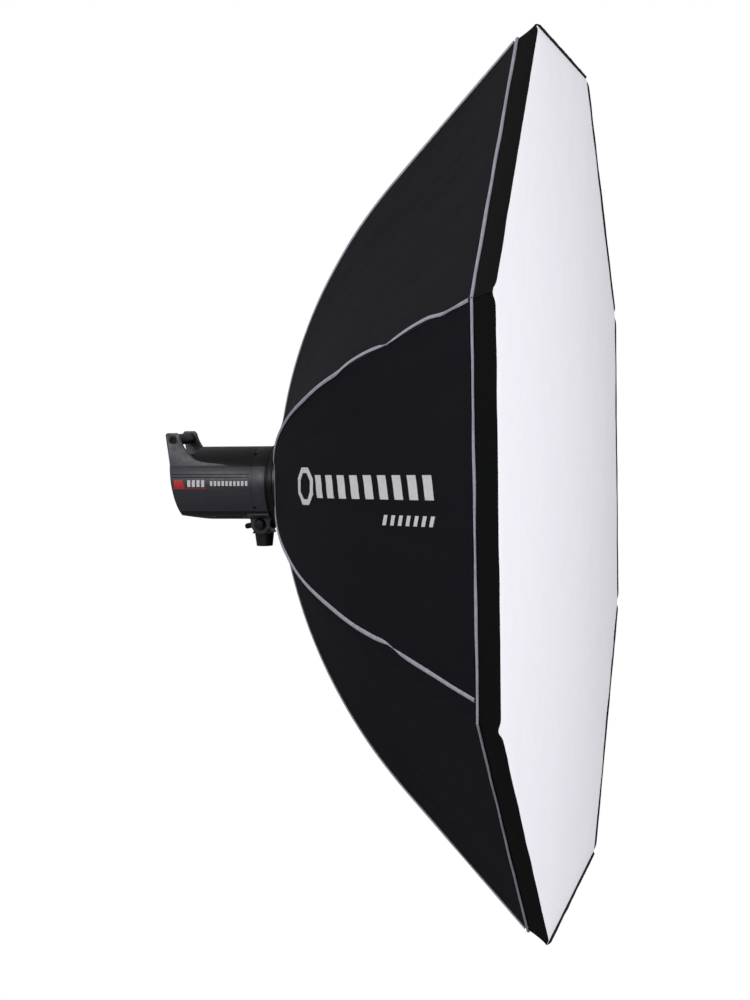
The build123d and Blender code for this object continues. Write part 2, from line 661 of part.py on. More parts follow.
def circuit_board():
    """The main board with its larger parts."""
    thick = 1.6
    board = Pos(0, 62, OPTICAL_HEIGHT + 16) * Box(104, 104, thick)
    top = OPTICAL_HEIGHT + 16 + thick / 2
    layout = (
        (-32, 40, (24, 20, 14)), (8, 34, (30, 16, 9)), (34, 70, (18, 26, 12)), (-20, 84, (34, 14, 6)),
    )
    chips = [Pos(x, y, top) * Box(*size, align=UPRIGHT) for x, y, size in layout]
    return board + chips


def handle_bar():
    """The round bar between the ears."""
    inner = EAR_TOP_X - EAR_THICKNESS - 0.1
    bar = ACROSS * Cylinder(BAR_RADIUS, 2 * inner)
    bore = ACROSS * Cylinder(BAR_SCREW + 0.1, 4 * inner)
    return Pos(0, BAR_Y, OPTICAL_HEIGHT + BAR_Z) * (bar - bore)


def handle_screws():
    """The two cap screws that hold the handle bar between the ears."""
    screws = []
    for side in (-1, 1):
        shank = Pos(side * (EAR_TOP_X - 12), 0, 0) * (ACROSS * Cylinder(BAR_SCREW, 28))
        cap = Pos(side * (EAR_TOP_X + 0.5), 0, 0) * (ACROSS * Cylinder(BAR_CAP, 5))
        socket = Pos(side * (EAR_TOP_X + 3), 0, 0) * (ACROSS * Cylinder(BAR_CAP / 2, 5))
        screws.append(Pos(0, BAR_Y, OPTICAL_HEIGHT + BAR_Z) * (shank + cap - socket))
    return Compound(children=screws)


def fork_brackets():
    """The two brackets under the head: each an ear for the tilt bolt and a curved foot."""
    centre = OPTICAL_HEIGHT - HEAD_DROP
    barrel = Pos(0, 0, centre) * (ALONG * Cylinder(HEAD_RADIUS + 0.1, 200))
    skin = Pos(0, 0, centre) * (ALONG * Cylinder(HEAD_RADIUS + SADDLE, 2 * FORK_TOP_HALF))
    brackets = []
    for side in (-1, 1):
        eye = ACROSS * Cylinder(FORK_RADIUS, FORK_THICKNESS)
        corners = (-FORK_RADIUS, 0), (FORK_RADIUS, 0), (FORK_TOP_HALF, 24), (-FORK_TOP_HALF, 24)
        flat = Polygon(*corners, align=None)
        plate = extrude(Plane.YZ * flat, FORK_THICKNESS / 2, both=True)
        ear_plate = Pos(side * (FORK_X + FORK_THICKNESS / 2), 0, PIVOT_Z) * (eye + plate)
        foot_box = Pos(side * (FORK_X + 10), 0, PIVOT_Z + 12) * Box(20, 2 * FORK_TOP_HALF, 40)
        bore = Pos(0, 0, PIVOT_Z) * (ACROSS * Cylinder(BOLT_RADIUS + 0.05, 100))
        relief = Pos(side * (FORK_X + FORK_THICKNESS + 3), 0, PIVOT_Z) * (
            Rot(0, 90, 0) * Cylinder(DOME_RADIUS + 0.4, 6)
        )
        brackets.append((ear_plate + (skin & foot_box)) - barrel - bore - relief)
    return Compound(children=brackets)


def socket_block():
    """The stand socket: a lug on the tilt bolt above a tapered barrel with the spigot's bore."""
    lug = Pos(0, 0, PIVOT_Z) * (ACROSS * Cylinder(LUG_RADIUS, 2 * LUG_HALF_X))
    flank = [
        (LUG_RADIUS, PIVOT_Z), (LUG_RADIUS + 5, PIVOT_Z - 8), (BLOCK_RADIUS - 1, SHOULDER_Z),
    ]
    flat = Polygon(*flank, *[(-y, z) for y, z in reversed(flank)], align=None)
    neck = extrude(Plane.YZ * flat, LUG_HALF_X, both=True)
    barrel = Cone(MOUTH_RADIUS, BLOCK_RADIUS, SHOULDER_Z + 2, align=UPRIGHT)
    made = lug + neck + barrel
    made -= Cylinder(SOCKET_BORE, 2 * SOCKET_DEPTH)
    made -= Pos(0, 0, PIVOT_Z) * (ACROSS * Cylinder(BOLT_RADIUS, 100))
    made -= Pos(20, 0, SCREW_Z) * (ACROSS * Cylinder(SCREW_RADIUS + 0.05, 30))
    return made


def pivot_bolt():
    """The tilt bolt with its domed head on the -X side."""
    reach = FORK_X + FORK_THICKNESS
    shank = Pos(8.5, 0, PIVOT_Z) * (ACROSS * Cylinder(BOLT_RADIUS, 2 * reach + 22))
    dome = Pos(-reach - 0.5, 0, PIVOT_Z) * Sphere(DOME_RADIUS)
    kept = Pos(-reach - 0.4, 0, PIVOT_Z) * Box(8.6, 40, 40, align=(Align.MAX, Align.CENTER, Align.CENTER))
    return shank + (dome & kept)


def tilt_lever():
    """The ratchet lever on the bolt's +X end, its arm pointing back and slightly down."""
    start = FORK_X + FORK_THICKNESS + 0.5
    wide, high = 8, 11
    hub = Pos(start + 9, 0, 0) * (ACROSS * Cylinder(9, 18))
    arm = Pos(start + 13, 0, 0) * Box(wide, LEVER_REACH, high, align=(Align.CENTER, Align.MIN, Align.CENTER))
    tip = Pos(start + 13, LEVER_REACH, 0) * (ACROSS * Cylinder(high / 2, wide))
    bore = Pos(start, 0, 0) * (ACROSS * Cylinder(BOLT_RADIUS + 0.05, 60))
    return Pos(0, 0, PIVOT_Z) * (Rot(-LEVER_ANGLE, 0, 0) * (hub + arm + tip - bore))


def spigot_screw():
    """The screw that clamps the stand's spigot, with its knurled knob."""
    knob_start, knob_radius, knob_length = 19.5, 8.5, 11
    length = knob_start + 6.5 - SOCKET_BORE
    shank = Pos(SOCKET_BORE + length / 2, 0, SCREW_Z) * (ACROSS * Cylinder(SCREW_RADIUS, length))
    knob = Pos(knob_start + knob_length / 2, 0, SCREW_Z) * (ACROSS * Cylinder(knob_radius, knob_length))
    drill = ACROSS * Cylinder(1.6, knob_length + 1)
    flute = Pos(knob_start + knob_length / 2, 0, knob_radius + 0.8) * drill
    flutes = [Pos(0, 0, SCREW_Z) * (Rot(45 * k, 0, 0) * flute) for k in range(8)]
    return shank + (knob - flutes)


def write(name, shape):
    """Writes one node's STEP file."""
    export_step(shape, os.path.join("parts", name + ".step"))
    print(name, round(shape.volume / 1000, 2), "cm3", len(shape.solids()), "solids")


def octabox_nodes():
    """Every node of the octabox, by name."""
    one_gore, one_rod, one_foot = gore(), rod(), rod_foot()
    nodes = {
        "gore_panels": Compound(children=[turned(one_gore, STEP * k) for k in range(1, SIDES + 1)]),
        "rod_piping": around(rod_tape),
        "rim_piping": turned(
            octagon_prism(HALF_FLAT_RIM + 3, RIM_Y + 3, RIM_Y - 3)
            - octagon_prism(HALF_FLAT_RIM - 3, RIM_Y + 4, RIM_Y - 4), 0
        ),
        "hub_piping": hub_piping(),
        "lip_band": turned(
            octagon_frustum(HALF_FLAT_RIM, RIM_Y - 3.2, HALF_FLAT_FRONT, FRONT_Y)
            - octagon_frustum(HALF_FLAT_RIM - 2, RIM_Y - 3.1, HALF_FLAT_FRONT - 2, FRONT_Y - 0.1), 0
        ),
        "front_diffuser": turned(octagon_prism(HALF_FLAT_FRONT - 3.2, FRONT_Y + SHEET, FRONT_Y), 0),
        "diffuser_hem": turned(
            octagon_prism(HALF_FLAT_RIM + 1, FRONT_Y + 1.6 + HEM_WIDTH, FRONT_Y + 1.6)
            - octagon_prism(HALF_FLAT_RIM - 1, FRONT_Y + 3 + HEM_WIDTH, FRONT_Y), 0
        ),
        "inner_diffuser": turned(
            octagon_prism(INNER_DIFFUSER_HALF, INNER_DIFFUSER_Y + 0.6, INNER_DIFFUSER_Y - 0.6), 0
        ),
        "diffuser_straps": around(diffuser_strap),
        "tip_pockets": around(tip_pocket),
        "rear_skirt": rear_skirt(),
        "speedring": speedring(),
        "hinge_pins": around(hinge_pin),
    }
    for k in range(1, SIDES + 1):
        nodes[f"rod_{k}"] = turned(one_rod, rod_angle(k))
        nodes[f"rod_foot_{k}"] = turned(one_foot, rod_angle(k))
    return nodes


def head_nodes():
    """Every node of the flash head, by name."""
    return {
        "retaining_ring": retaining_ring(),
        "retaining_screws": retaining_screws(),
        "bayonet_insert": bayonet_insert(),
        "lock_ring": lock_ring(),
        "lamp_carrier": lamp_carrier(),
        "flash_tube": flash_tube(),
        "modelling_lamp": modelling_lamp(),
        "glass_dome": glass_dome(),
        "left_shell": side_shell(-1),
        "right_shell": side_shell(1),
        "top_cover": top_cover(),
        "base_cover": base_cover(),
        "handle_bar": handle_bar(),
        "handle_screws": handle_screws(),
        "cooling_fan": cooling_fan(),
        "capacitors": capacitors(),
        "circuit_board": circuit_board(),
        "rear_panel": rear_panel(),
        "display_window": display_window(),
        "mains_inlet": mains_inlet(),
        "fuse_cap": plug_in(FUSE_RADIUS, 5.0, FUSE_AT),
        "sensor_dome": plug_in(SENSOR_RADIUS, 4.0, SENSOR_AT),
        "power_rocker": rocker(),
        "control_dial": dial(),
        "test_button": button(TEST_AT),
        "mode_button": button(MODE_AT),
        "fork_brackets": fork_brackets(),
    }


def stand_nodes():
    """Every node on the stand's side of the tilt, by name."""
    return {
        "socket_block": socket_block(),
        "pivot_bolt": pivot_bolt(),
        "tilt_lever": tilt_lever(),
        "spigot_screw": spigot_screw(),
    }


def main():
    """Builds and writes every node."""
    os.makedirs("parts", exist_ok=True)
    for group in (stand_nodes, head_nodes, octabox_nodes):
        for name, shape in group().items():
            write(name, shape)


main()
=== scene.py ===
"""Looks of a 175 cm folding octabox on its studio flash head.

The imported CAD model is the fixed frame. The octabox's fabric, tapes and diffusers are built here as
sewn cloth, the flash head's mouldings get rounded edges, and every piece gets its finish.
"""
import json
import logging
import math
from collections.abc import Callable
from dataclasses import dataclass, field
from enum import Enum
from functools import partial

import bmesh
import bpy
from mathutils import Matrix, Quaternion, Vector, noise

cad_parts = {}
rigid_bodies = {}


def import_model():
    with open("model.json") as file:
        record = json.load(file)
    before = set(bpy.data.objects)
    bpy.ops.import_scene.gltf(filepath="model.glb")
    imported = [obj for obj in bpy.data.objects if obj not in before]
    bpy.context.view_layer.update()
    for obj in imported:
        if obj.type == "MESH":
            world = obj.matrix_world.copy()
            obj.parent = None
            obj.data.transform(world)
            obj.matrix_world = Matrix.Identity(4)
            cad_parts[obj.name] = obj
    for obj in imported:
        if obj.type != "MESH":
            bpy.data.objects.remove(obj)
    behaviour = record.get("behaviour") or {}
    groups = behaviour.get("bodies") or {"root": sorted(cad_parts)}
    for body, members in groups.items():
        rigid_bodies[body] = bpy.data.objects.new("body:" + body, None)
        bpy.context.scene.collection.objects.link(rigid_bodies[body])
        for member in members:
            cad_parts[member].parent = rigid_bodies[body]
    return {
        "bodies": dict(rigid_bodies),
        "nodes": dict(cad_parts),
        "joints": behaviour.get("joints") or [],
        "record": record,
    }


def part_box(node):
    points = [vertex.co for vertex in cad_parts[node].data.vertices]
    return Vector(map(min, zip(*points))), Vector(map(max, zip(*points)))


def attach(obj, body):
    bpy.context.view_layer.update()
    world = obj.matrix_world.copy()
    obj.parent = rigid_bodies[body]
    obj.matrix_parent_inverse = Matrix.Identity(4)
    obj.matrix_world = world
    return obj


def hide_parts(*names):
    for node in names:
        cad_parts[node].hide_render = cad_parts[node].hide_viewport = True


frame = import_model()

log = logging.getLogger("octabox")
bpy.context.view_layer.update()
MM = 0.001
SIDES = 8
STEP = 2 * math.pi / SIDES
HALF_STEP = STEP / 2
COS_HALF = math.cos(HALF_STEP)
TAN_HALF = math.tan(HALF_STEP)


class Slot(str, Enum):
    """The record's material slots, one of which each new piece is passed."""

    NYLON = "black_nylon"
    PIPING = "grey_tape"
    TAPE = "lip_tape"
    DIFFUSER = "diffuser_cloth"
    ELASTIC = "elastic"
    LENS = "red_lens"


def joint_place(name: str) -> Vector:
    """The point that a joint turns about, in metres.

    Args:
        name: the joint's name in the record.

    Returns:
        Its position in the row frame.
    """
    return Vector(next(j for j in frame["joints"] if j["name"] == name)["pos_m"])


AXIS_HEIGHT = joint_place("octabox_turn").z


# ---- Finishes ----

def linear(colour: str) -> tuple[float, float, float, float]:
    """An sRGB hex colour as linear RGBA.

    Args:
        colour: six hex digits after a hash sign.

    Returns:
        Red, green, blue and an alpha of 1.
    """
    parts = [int(colour[i:i + 2], 16) / 255 for i in (1, 3, 5)]
    light = [p / 12.92 if p <= 0.04045 else ((p + 0.055) / 1.055) ** 2.4 for p in parts]
    return (light[0], light[1], light[2], 1.0)


def add_node(tree: bpy.types.NodeTree, kind: str, settings: dict | None = None,
             inputs: dict | None = None) -> bpy.types.Node:
    """Adds a node with its settings, values and links.

    Args:
        tree: the node tree.
        kind: the node's type name.
        settings: the node's own properties.
        inputs: a value, or a socket to link from, for each input's name or number.

    Returns:
        The new node.
    """
    node = tree.nodes.new(kind)
    for name, value in (settings or {}).items():
        setattr(node, name, value)
    for name, value in (inputs or {}).items():
        if isinstance(value, bpy.types.NodeSocket):
            tree.links.new(value, node.inputs[name])
        else:
            node.inputs[name].default_value = value
    return node


@dataclass(frozen=True)
class Finish:
    """A surface with a faint blotch in its colour and a fine grain: moulded, sprayed or cast."""

    name: str
    colour: str
    shade: str                  # the darker or lighter tone that the blotches reach; on ribbed tape, the lighter tone of the painted highlight on each rib's crest
    roughness: float = 0.5
    roughness_spread: float = 0.08
    metallic: float = 0.0
    ior: float = 1.5
    sheen: float = 0.0
    coat: float = 0.0
    specular: float = 0.5
    transmission: float = 0.0
    blotch_mm: float = 12.0
    grain_mm: float = 1.0
    grain_depth_mm: float = 0.05
    uses_uv: bool = False

    def make(self) -> bpy.types.Material:
        """The finish as a Blender material."""
        made = bpy.data.materials.new(self.name)
        made.use_nodes = True
        tree = made.node_tree
        shader = tree.nodes["Principled BSDF"]
        inputs = {"Metallic": self.metallic, "Sheen Weight": self.sheen, "Coat Weight": self.coat,
                  "Specular IOR Level": self.specular, "Transmission Weight": self.transmission}
        if self.metallic == 0:
            inputs["IOR"] = self.ior
        for name, value in inputs.items():
            shader.inputs[name].default_value = value
        where = add_node(tree, "ShaderNodeTexCoord").outputs["UV" if self.uses_uv else "Object"]
        self.paint(tree, shader, where)
        return made

    def paint(self, tree: bpy.types.NodeTree, shader: bpy.types.Node,
              where: bpy.types.NodeSocket) -> None:
        """Links the colour, roughness and bump.

        Args:
            tree: the material's nodes.
            shader: its Principled BSDF.
            where: the coordinates that its patterns follow, in metres.
        """
        blotch = add_node(tree, "ShaderNodeTexNoise", None, {
            "Vector": where, "Scale": 1 / (self.blotch_mm * MM), "Detail": 4.0, "Roughness": 0.6})
        self.link_colour(tree, shader, blotch.outputs["Fac"])
        grain = add_node(tree, "ShaderNodeTexNoise", None, {
            "Vector": where, "Scale": 1 / (self.grain_mm * MM), "Detail": 2.0})
        self.link_bump(tree, shader, grain.outputs["Fac"], self.grain_depth_mm)

    def link_colour(self, tree: bpy.types.NodeTree, shader: bpy.types.Node,
                    share: bpy.types.NodeSocket) -> None:
        """Mixes the two tones by a share and spreads the roughness with it."""
        clear = add_node(tree, "ShaderNodeMapRange", None, {
            "Value": share, "From Min": 0.3, "From Max": 0.7}).outputs["Result"]
        mix = add_node(tree, "ShaderNodeMix", {"data_type": "RGBA"}, {
            "Factor": clear, 6: linear(self.colour), 7: linear(self.shade)})
        tree.links.new(mix.outputs[2], shader.inputs["Base Color"])
        rough = add_node(tree, "ShaderNodeMapRange", None, {
            "Value": clear, "To Min": self.roughness - self.roughness_spread,
            "To Max": self.roughness + self.roughness_spread})
        tree.links.new(rough.outputs["Result"], shader.inputs["Roughness"])

    @staticmethod
    def wave_scale(pitch_mm: float) -> float:
        """The scale of a wave texture whose bands are pitch_mm apart."""
        return math.pi / 10 / (pitch_mm * MM)

    def link_bump(self, tree: bpy.types.NodeTree, shader: bpy.types.Node,
                  height: bpy.types.NodeSocket, depth_mm: float) -> None:
        """Raises the surface by a height from 0 to 1, depth_mm deep."""
        bump = add_node(tree, "ShaderNodeBump", None, {
            "Height": height, "Distance": depth_mm * MM, "Strength": 1.0})
        tree.links.new(bump.outputs["Normal"], shader.inputs["Normal"])


@dataclass(frozen=True)
class WovenCloth(Finish):
    """Cloth whose two sets of threads cross along its own UV map, which is in metres."""

    thread_mm: float = 1.6      # drawn coarser than the real 0.3 mm, so that the weave shows
    weave_share: float = 0.5
    uses_uv: bool = True

    def paint(self, tree: bpy.types.NodeTree, shader: bpy.types.Node,
              where: bpy.types.NodeSocket) -> None:
        """Links a mottled colour and a bump of crossing threads over soft creases."""
        mottle = add_node(tree, "ShaderNodeTexNoise", None, {
            "Vector": where, "Scale": 1 / (self.blotch_mm * MM), "Detail": 6.0, "Roughness": 0.7,
            "Distortion": 0.6})
        self.link_colour(tree, shader, mottle.outputs["Fac"])
        threads = [add_node(tree, "ShaderNodeTexWave", {"bands_direction": way}, {
            "Vector": where, "Scale": self.wave_scale(self.thread_mm), "Distortion": 0.7,
            "Detail": 1.0, "Detail Scale": 2.0}) for way in ("X", "Y")]
        crossed = add_node(tree, "ShaderNodeMath", {"operation": "MAXIMUM"}, {
            0: threads[0].outputs["Fac"], 1: threads[1].outputs["Fac"]})
        height = add_node(tree, "ShaderNodeMix", None, {
            "Factor": self.weave_share, "A": mottle.outputs["Fac"], "B": crossed.outputs["Value"]})
        self.link_bump(tree, shader, height.outputs["Result"], self.grain_depth_mm)


@dataclass(frozen=True)
class RibbedTape(Finish):
    """Hook-and-loop tape with woven ribs across its length."""

    rib_mm: float = 3.3
    pile_share: float = 0.35
    uses_uv: bool = True

    def paint(self, tree: bpy.types.NodeTree, shader: bpy.types.Node,
              where: bpy.types.NodeSocket) -> None:
        """Links ribs across the tape, with a painted highlight that makes each one lighter on its
        crest, over a pile's grain.
        """
        ribs = add_node(tree, "ShaderNodeTexWave", {"bands_direction": "X"}, {
            "Vector": where, "Scale": self.wave_scale(self.rib_mm), "Distortion": 0.5,
            "Detail": 2.0, "Detail Scale": 3.0})
        pile = add_node(tree, "ShaderNodeTexNoise", None, {
            "Vector": where, "Scale": 1 / (self.grain_mm * MM), "Detail": 3.0})
        height = add_node(tree, "ShaderNodeMix", None, {
            "Factor": self.pile_share, "A": ribs.outputs["Fac"], "B": pile.outputs["Fac"]})
        # painted highlight: each rib's crest takes the lighter shade tone in the colour, as well as
        # rising in the bump
        self.link_colour(tree, shader, height.outputs["Result"])
        self.link_bump(tree, shader, height.outputs["Result"], self.grain_depth_mm)


@dataclass(frozen=True)
class DrawnMetal(Finish):
    """Metal drawn or turned, with fine streaks along one axis."""

    streak: tuple[float, float, float] = (1.0, 0.04, 1.0)

    def paint(self, tree: bpy.types.NodeTree, shader: bpy.types.Node,
              where: bpy.types.NodeSocket) -> None:
        """Links streaks that shade the metal and roughen it."""
        along = add_node(tree, "ShaderNodeMapping", None, {"Vector": where, "Scale": self.streak})
        streaks = add_node(tree, "ShaderNodeTexNoise", None, {
            "Vector": along.outputs["Vector"], "Scale": 1 / (self.grain_mm * MM), "Detail": 3.0})
        self.link_colour(tree, shader, streaks.outputs["Fac"])
        self.link_bump(tree, shader, streaks.outputs["Fac"], self.grain_depth_mm)


# Proofed black nylon, plain woven: a matt face with a soft sheen and a faint cloudy mottle.
GORE_NYLON = WovenCloth("black_proofed_nylon", "#0a090d", "#211f27", roughness=0.66, specular=0.1,
                        blotch_mm=4.5, grain_depth_mm=0.5)
# Polyester piping tape, woven flat: pale grey and slightly glossy along its threads.
PIPING_TAPE = WovenCloth("grey_polyester_piping", "#a3a3b2", "#c3c3d0", roughness=0.5, sheen=0.1,
                         specular=0.3, blotch_mm=14.0, thread_mm=1.2, grain_depth_mm=0.15)
# Loop tape: dead black, with a painted highlight on each rib's crest.
LOOP_TAPE = RibbedTape("black_loop_tape", "#060707", "#161717", roughness=0.8, specular=0.12,
                       grain_mm=1.4, grain_depth_mm=0.7)
# White diffuser nylon, calendered: bright and smooth, with a cool tinge in its thin places.
DIFFUSER_NYLON = WovenCloth("white_diffuser_nylon", "#e7e6ea", "#e0dee6", roughness=0.55, specular=0.25,
                            blotch_mm=160.0, thread_mm=1.8, grain_depth_mm=0.08)
# Woven elastic: black rubber thread under a polyester braid.
ELASTIC_BRAID = WovenCloth("black_woven_elastic", "#101012", "#1c1c20", roughness=0.7,
                           specular=0.2, blotch_mm=6.0, thread_mm=1.5, grain_depth_mm=0.2)
# Glass-filled polyamide, spark-eroded mould: blue-grey with a satin grain.
SHELL_MOULDING = Finish("blue_grey_polyamide", "#34333c", "#3b3943", roughness=0.42, grain_mm=0.9,
                        grain_depth_mm=0.045, ior=1.53)
# The same polyamide in black: satin, a little glossier on worn edges.
BLACK_MOULDING = Finish("black_polyamide", "#0b0a0d", "#121115", roughness=0.42, grain_mm=0.9,
                        grain_depth_mm=0.045, specular=0.28, ior=1.53)
# Black powder coat on die-cast alloy: a slight orange peel.
POWDER_COAT = Finish("black_powder_coat", "#141416", "#1b1b1e", roughness=0.38, grain_mm=1.8,
                     grain_depth_mm=0.06, coat=0.15)
# Drawn spring steel: bright, with streaks along its length.
SPRING_STEEL = DrawnMetal("drawn_spring_steel", "#a9a9ab", "#8e8e92", roughness=0.3, metallic=1.0,
                          grain_mm=0.8, grain_depth_mm=0.01)
BLACK_OXIDE = DrawnMetal("black_oxide_steel", "#1a1a1c", "#0f0f10", roughness=0.4, metallic=0.6,
                         grain_mm=0.6, grain_depth_mm=0.01)
CAN_ALLOY = DrawnMetal("drawn_aluminium", "#bfc0c3", "#a6a7ab", roughness=0.35, metallic=1.0,
                       grain_mm=1.0, grain_depth_mm=0.01)
# Acrylic display window: dark and glossy over the unlit display.
DISPLAY_ACRYLIC = Finish("smoked_acrylic", "#08090b", "#0c0d10", roughness=0.08, ior=1.49,
                         roughness_spread=0.02, grain_depth_mm=0.005, coat=0.5)
RED_LENS = Finish("red_polycarbonate", "#9d1418", "#7d0f13", roughness=0.18, ior=1.58,
                  grain_depth_mm=0.01)
# Silicone rubber keys: dull grey with a dusty bloom.
GREY_RUBBER = Finish("grey_silicone", "#4a4a4f", "#55555a", roughness=0.7, ior=1.41, grain_mm=1.2)
QUARTZ = Finish("fused_quartz", "#f2f2f2", "#e8e8ea", roughness=0.05, ior=1.46, transmission=0.9,
                roughness_spread=0.02, grain_depth_mm=0.005)
# Sandblasted borosilicate: milky, with a fine even tooth.
FROSTED_GLASS = Finish("frosted_borosilicate", "#f1f0ec", "#e4e3de", roughness=0.55, ior=1.47,
                       transmission=0.5, grain_mm=0.7)
SOLDER_RESIST = Finish("green_solder_resist", "#1d6b35", "#175a2c", roughness=0.35, coat=0.3)
STEATITE = Finish("fired_steatite", "#d5d0c4", "#c9c3b6", roughness=0.6, grain_mm=1.1)
# Pad-printed ink, a thin even film on the moulding.
RED_INK = Finish("red_pad_print", "#d0222a", "#bf1d25", roughness=0.5, grain_depth_mm=0.01)
WHITE_INK = Finish("white_screen_print", "#f2f2f4", "#e6e6ea", roughness=0.6, grain_depth_mm=0.02)

SLOT_FINISH: dict[str, Finish] = {
    "black_nylon": GORE_NYLON, "grey_tape": PIPING_TAPE, "lip_tape": LOOP_TAPE,
    "diffuser_cloth": DIFFUSER_NYLON, "elastic": ELASTIC_BRAID, "black_alloy": POWDER_COAT,
    "steel": SPRING_STEEL, "black_steel": BLACK_OXIDE, "shell_moulding": SHELL_MOULDING,
    "black_moulding": BLACK_MOULDING, "display": DISPLAY_ACRYLIC, "red_lens": RED_LENS,
    "grey_rubber": GREY_RUBBER, "quartz": QUARTZ, "frosted_glass": FROSTED_GLASS,
    "can_alloy": CAN_ALLOY, "board": SOLDER_RESIST, "ceramic": STEATITE,
}


class Dresser:
    """Keeps one Blender material for each finish and puts it on pieces."""

    def __init__(self) -> None:
        """Starts with no materials made."""
        self.made: dict[str, bpy.types.Material] = {}

    def dress(self, piece: bpy.types.Object, finish: Finish) -> None:
        """Gives a piece one finish all over."""
        if finish.name not in self.made:
            self.made[finish.name] = finish.make()
        piece.data.materials.clear()
        piece.data.materials.append(self.made[finish.name])


DRESSER = Dresser()


# ---- Mesh helpers ----

def new_piece(name: str, bm: bmesh.types.BMesh, body: str, finish: Finish, slot: Slot | str,
              sharp: float = 40.0) -> bpy.types.Object:
    """Makes an object of a bmesh, dresses it and lets it ride on a body.

    Args:
        name: the piece's name.
        bm: its mesh, which is freed.
        body: the CAD body it moves with.
        finish: its finish.
        slot: the record's material slot; not used.
        sharp: edges that turn by more than this many degrees stay sharp.

    Returns:
        The new piece.
    """
    mesh = bpy.data.meshes.new(name)
    for face in bm.faces:
        face.smooth = True
    bm.to_mesh(mesh)
    bm.free()
    mesh.set_sharp_from_angle(angle=math.radians(sharp))
    piece = bpy.data.objects.new(name, mesh)
    bpy.context.scene.collection.objects.link(piece)
    DRESSER.dress(piece, finish)
    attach(piece, body)
    slot.value if isinstance(slot, Slot) else slot
    return piece


def cloth_patch(across: int, along: int, place: Callable[[float, float], Vector],
                flat: tuple[float, float], thickness: float = 0.0) -> bmesh.types.BMesh:
    """A grid laid on a surface, with a UV map of its flat size in metres.

    Args:
        across: cells over its width.
        along: cells over its length.
        place: the point for a share from -1 to 1 across and from 0 to 1 along.
        flat: width and length of the cloth before it was sewn.
        thickness: how far it is thickened on the side its faces turn from, in metres.

    Returns:
        The patch as a bmesh.
    """
    bm = bmesh.new()
    bmesh.ops.create_grid(bm, x_segments=across, y_segments=along, size=1.0, calc_uvs=False)
    layer = bm.loops.layers.uv.new("cloth")
    for face in bm.faces:
        for loop in face.loops:
            u, v = loop.vert.co.x, (loop.vert.co.y + 1) / 2
            loop[layer].uv = (u * flat[0] / 2, v * flat[1])
    for vert in bm.verts:
        vert.co = place(vert.co.x, (vert.co.y + 1) / 2)
    if thickness:
        bmesh.ops.recalc_face_normals(bm, faces=bm.faces)
        bmesh.ops.solidify(bm, geom=bm.faces[:], thickness=thickness)
    return bm


def joined(parts: list[bmesh.types.BMesh]) -> bmesh.types.BMesh:
    """Several bmeshes as one, with the same UV layer.

    Args:
        parts: the bmeshes, which are freed.

    Returns:
        The joined bmesh.
    """
    whole = bmesh.new()
    for part in parts:
        mesh = bpy.data.meshes.new("part")
        part.to_mesh(mesh)
        part.free()
        whole.from_mesh(mesh)
        bpy.data.meshes.remove(mesh)
    return whole


def ring_of(across: int, along: int, place: Callable[[int, float, float], Vector],
            flat: tuple[float, float], thickness: float = 0.0) -> bmesh.types.BMesh:
    """Eight cloth patches round the box as one mesh.

    Args:
        across: cells over the width of each patch.
        along: cells over its length.
        place: the point for a side's or a rod's number and the two shares.
        flat: width and length of each patch before it was sewn.
        thickness: how far each is thickened.

    Returns:
        The joined patches.
    """
    return joined([cloth_patch(across, along, partial(place, number), flat, thickness)
                   for number in range(1, SIDES + 1)])


def octagon_sheet(cells: tuple[int, int], place: Callable[[int, float, float], Vector],
                  half: float, thickness: float) -> bmesh.types.BMesh:
    """A sheet across the box, sewn of eight triangles and mapped by its X and Z in metres.

    Args:
        cells: cells across and along each triangle.
        place: the point for a side's number and the two shares.
        half: half the sheet's width across flats.
        thickness: the sheet's thickness.

    Returns:
        The sheet as one closed mesh.
    """
    whole = ring_of(*cells, place, (2 * half * TAN_HALF, half))
    bmesh.ops.remove_doubles(whole, verts=whole.verts, dist=0.3 * MM)
    layer = whole.loops.layers.uv.verify()
    for face in whole.faces:
        for loop in face.loops:
            loop[layer].uv = (loop.vert.co.x, loop.vert.co.z)
    bmesh.ops.recalc_face_normals(whole, faces=whole.faces)
    bmesh.ops.solidify(whole, geom=whole.faces[:], thickness=thickness)
    return whole


def report(*pieces: bpy.types.Object) -> None:
    """Logs each piece's name and its number of faces."""
    for piece in pieces:
        log.info("%s: %d faces", piece.name, len(piece.data.polygons))


def ease(x: float) -> float:
    """A share from 0 to 1 with level ends."""
    x = max(0.0, min(1.0, x))
    return x * x * (3 - 2 * x)


def ripple(x: float, y: float, seed: float) -> float:
    """Smooth noise from about -1 to 1, the same on every run."""
    return noise.noise(Vector((x, y, seed)))


# ---- The octabox ----

def directions(angle: float) -> tuple[Vector, Vector]:
    """The unit vectors outward and along a side at an angle from straight up towards +X."""
    sine, cosine = math.sin(angle), math.cos(angle)
    return Vector((sine, 0, cosine)), Vector((cosine, 0, -sine))


def face_tilt(slope: float) -> float:
    """How far the flat of a side leans back where the rods beside it have a slope."""
    return math.atan2(math.sin(slope), COS_HALF * math.cos(slope))


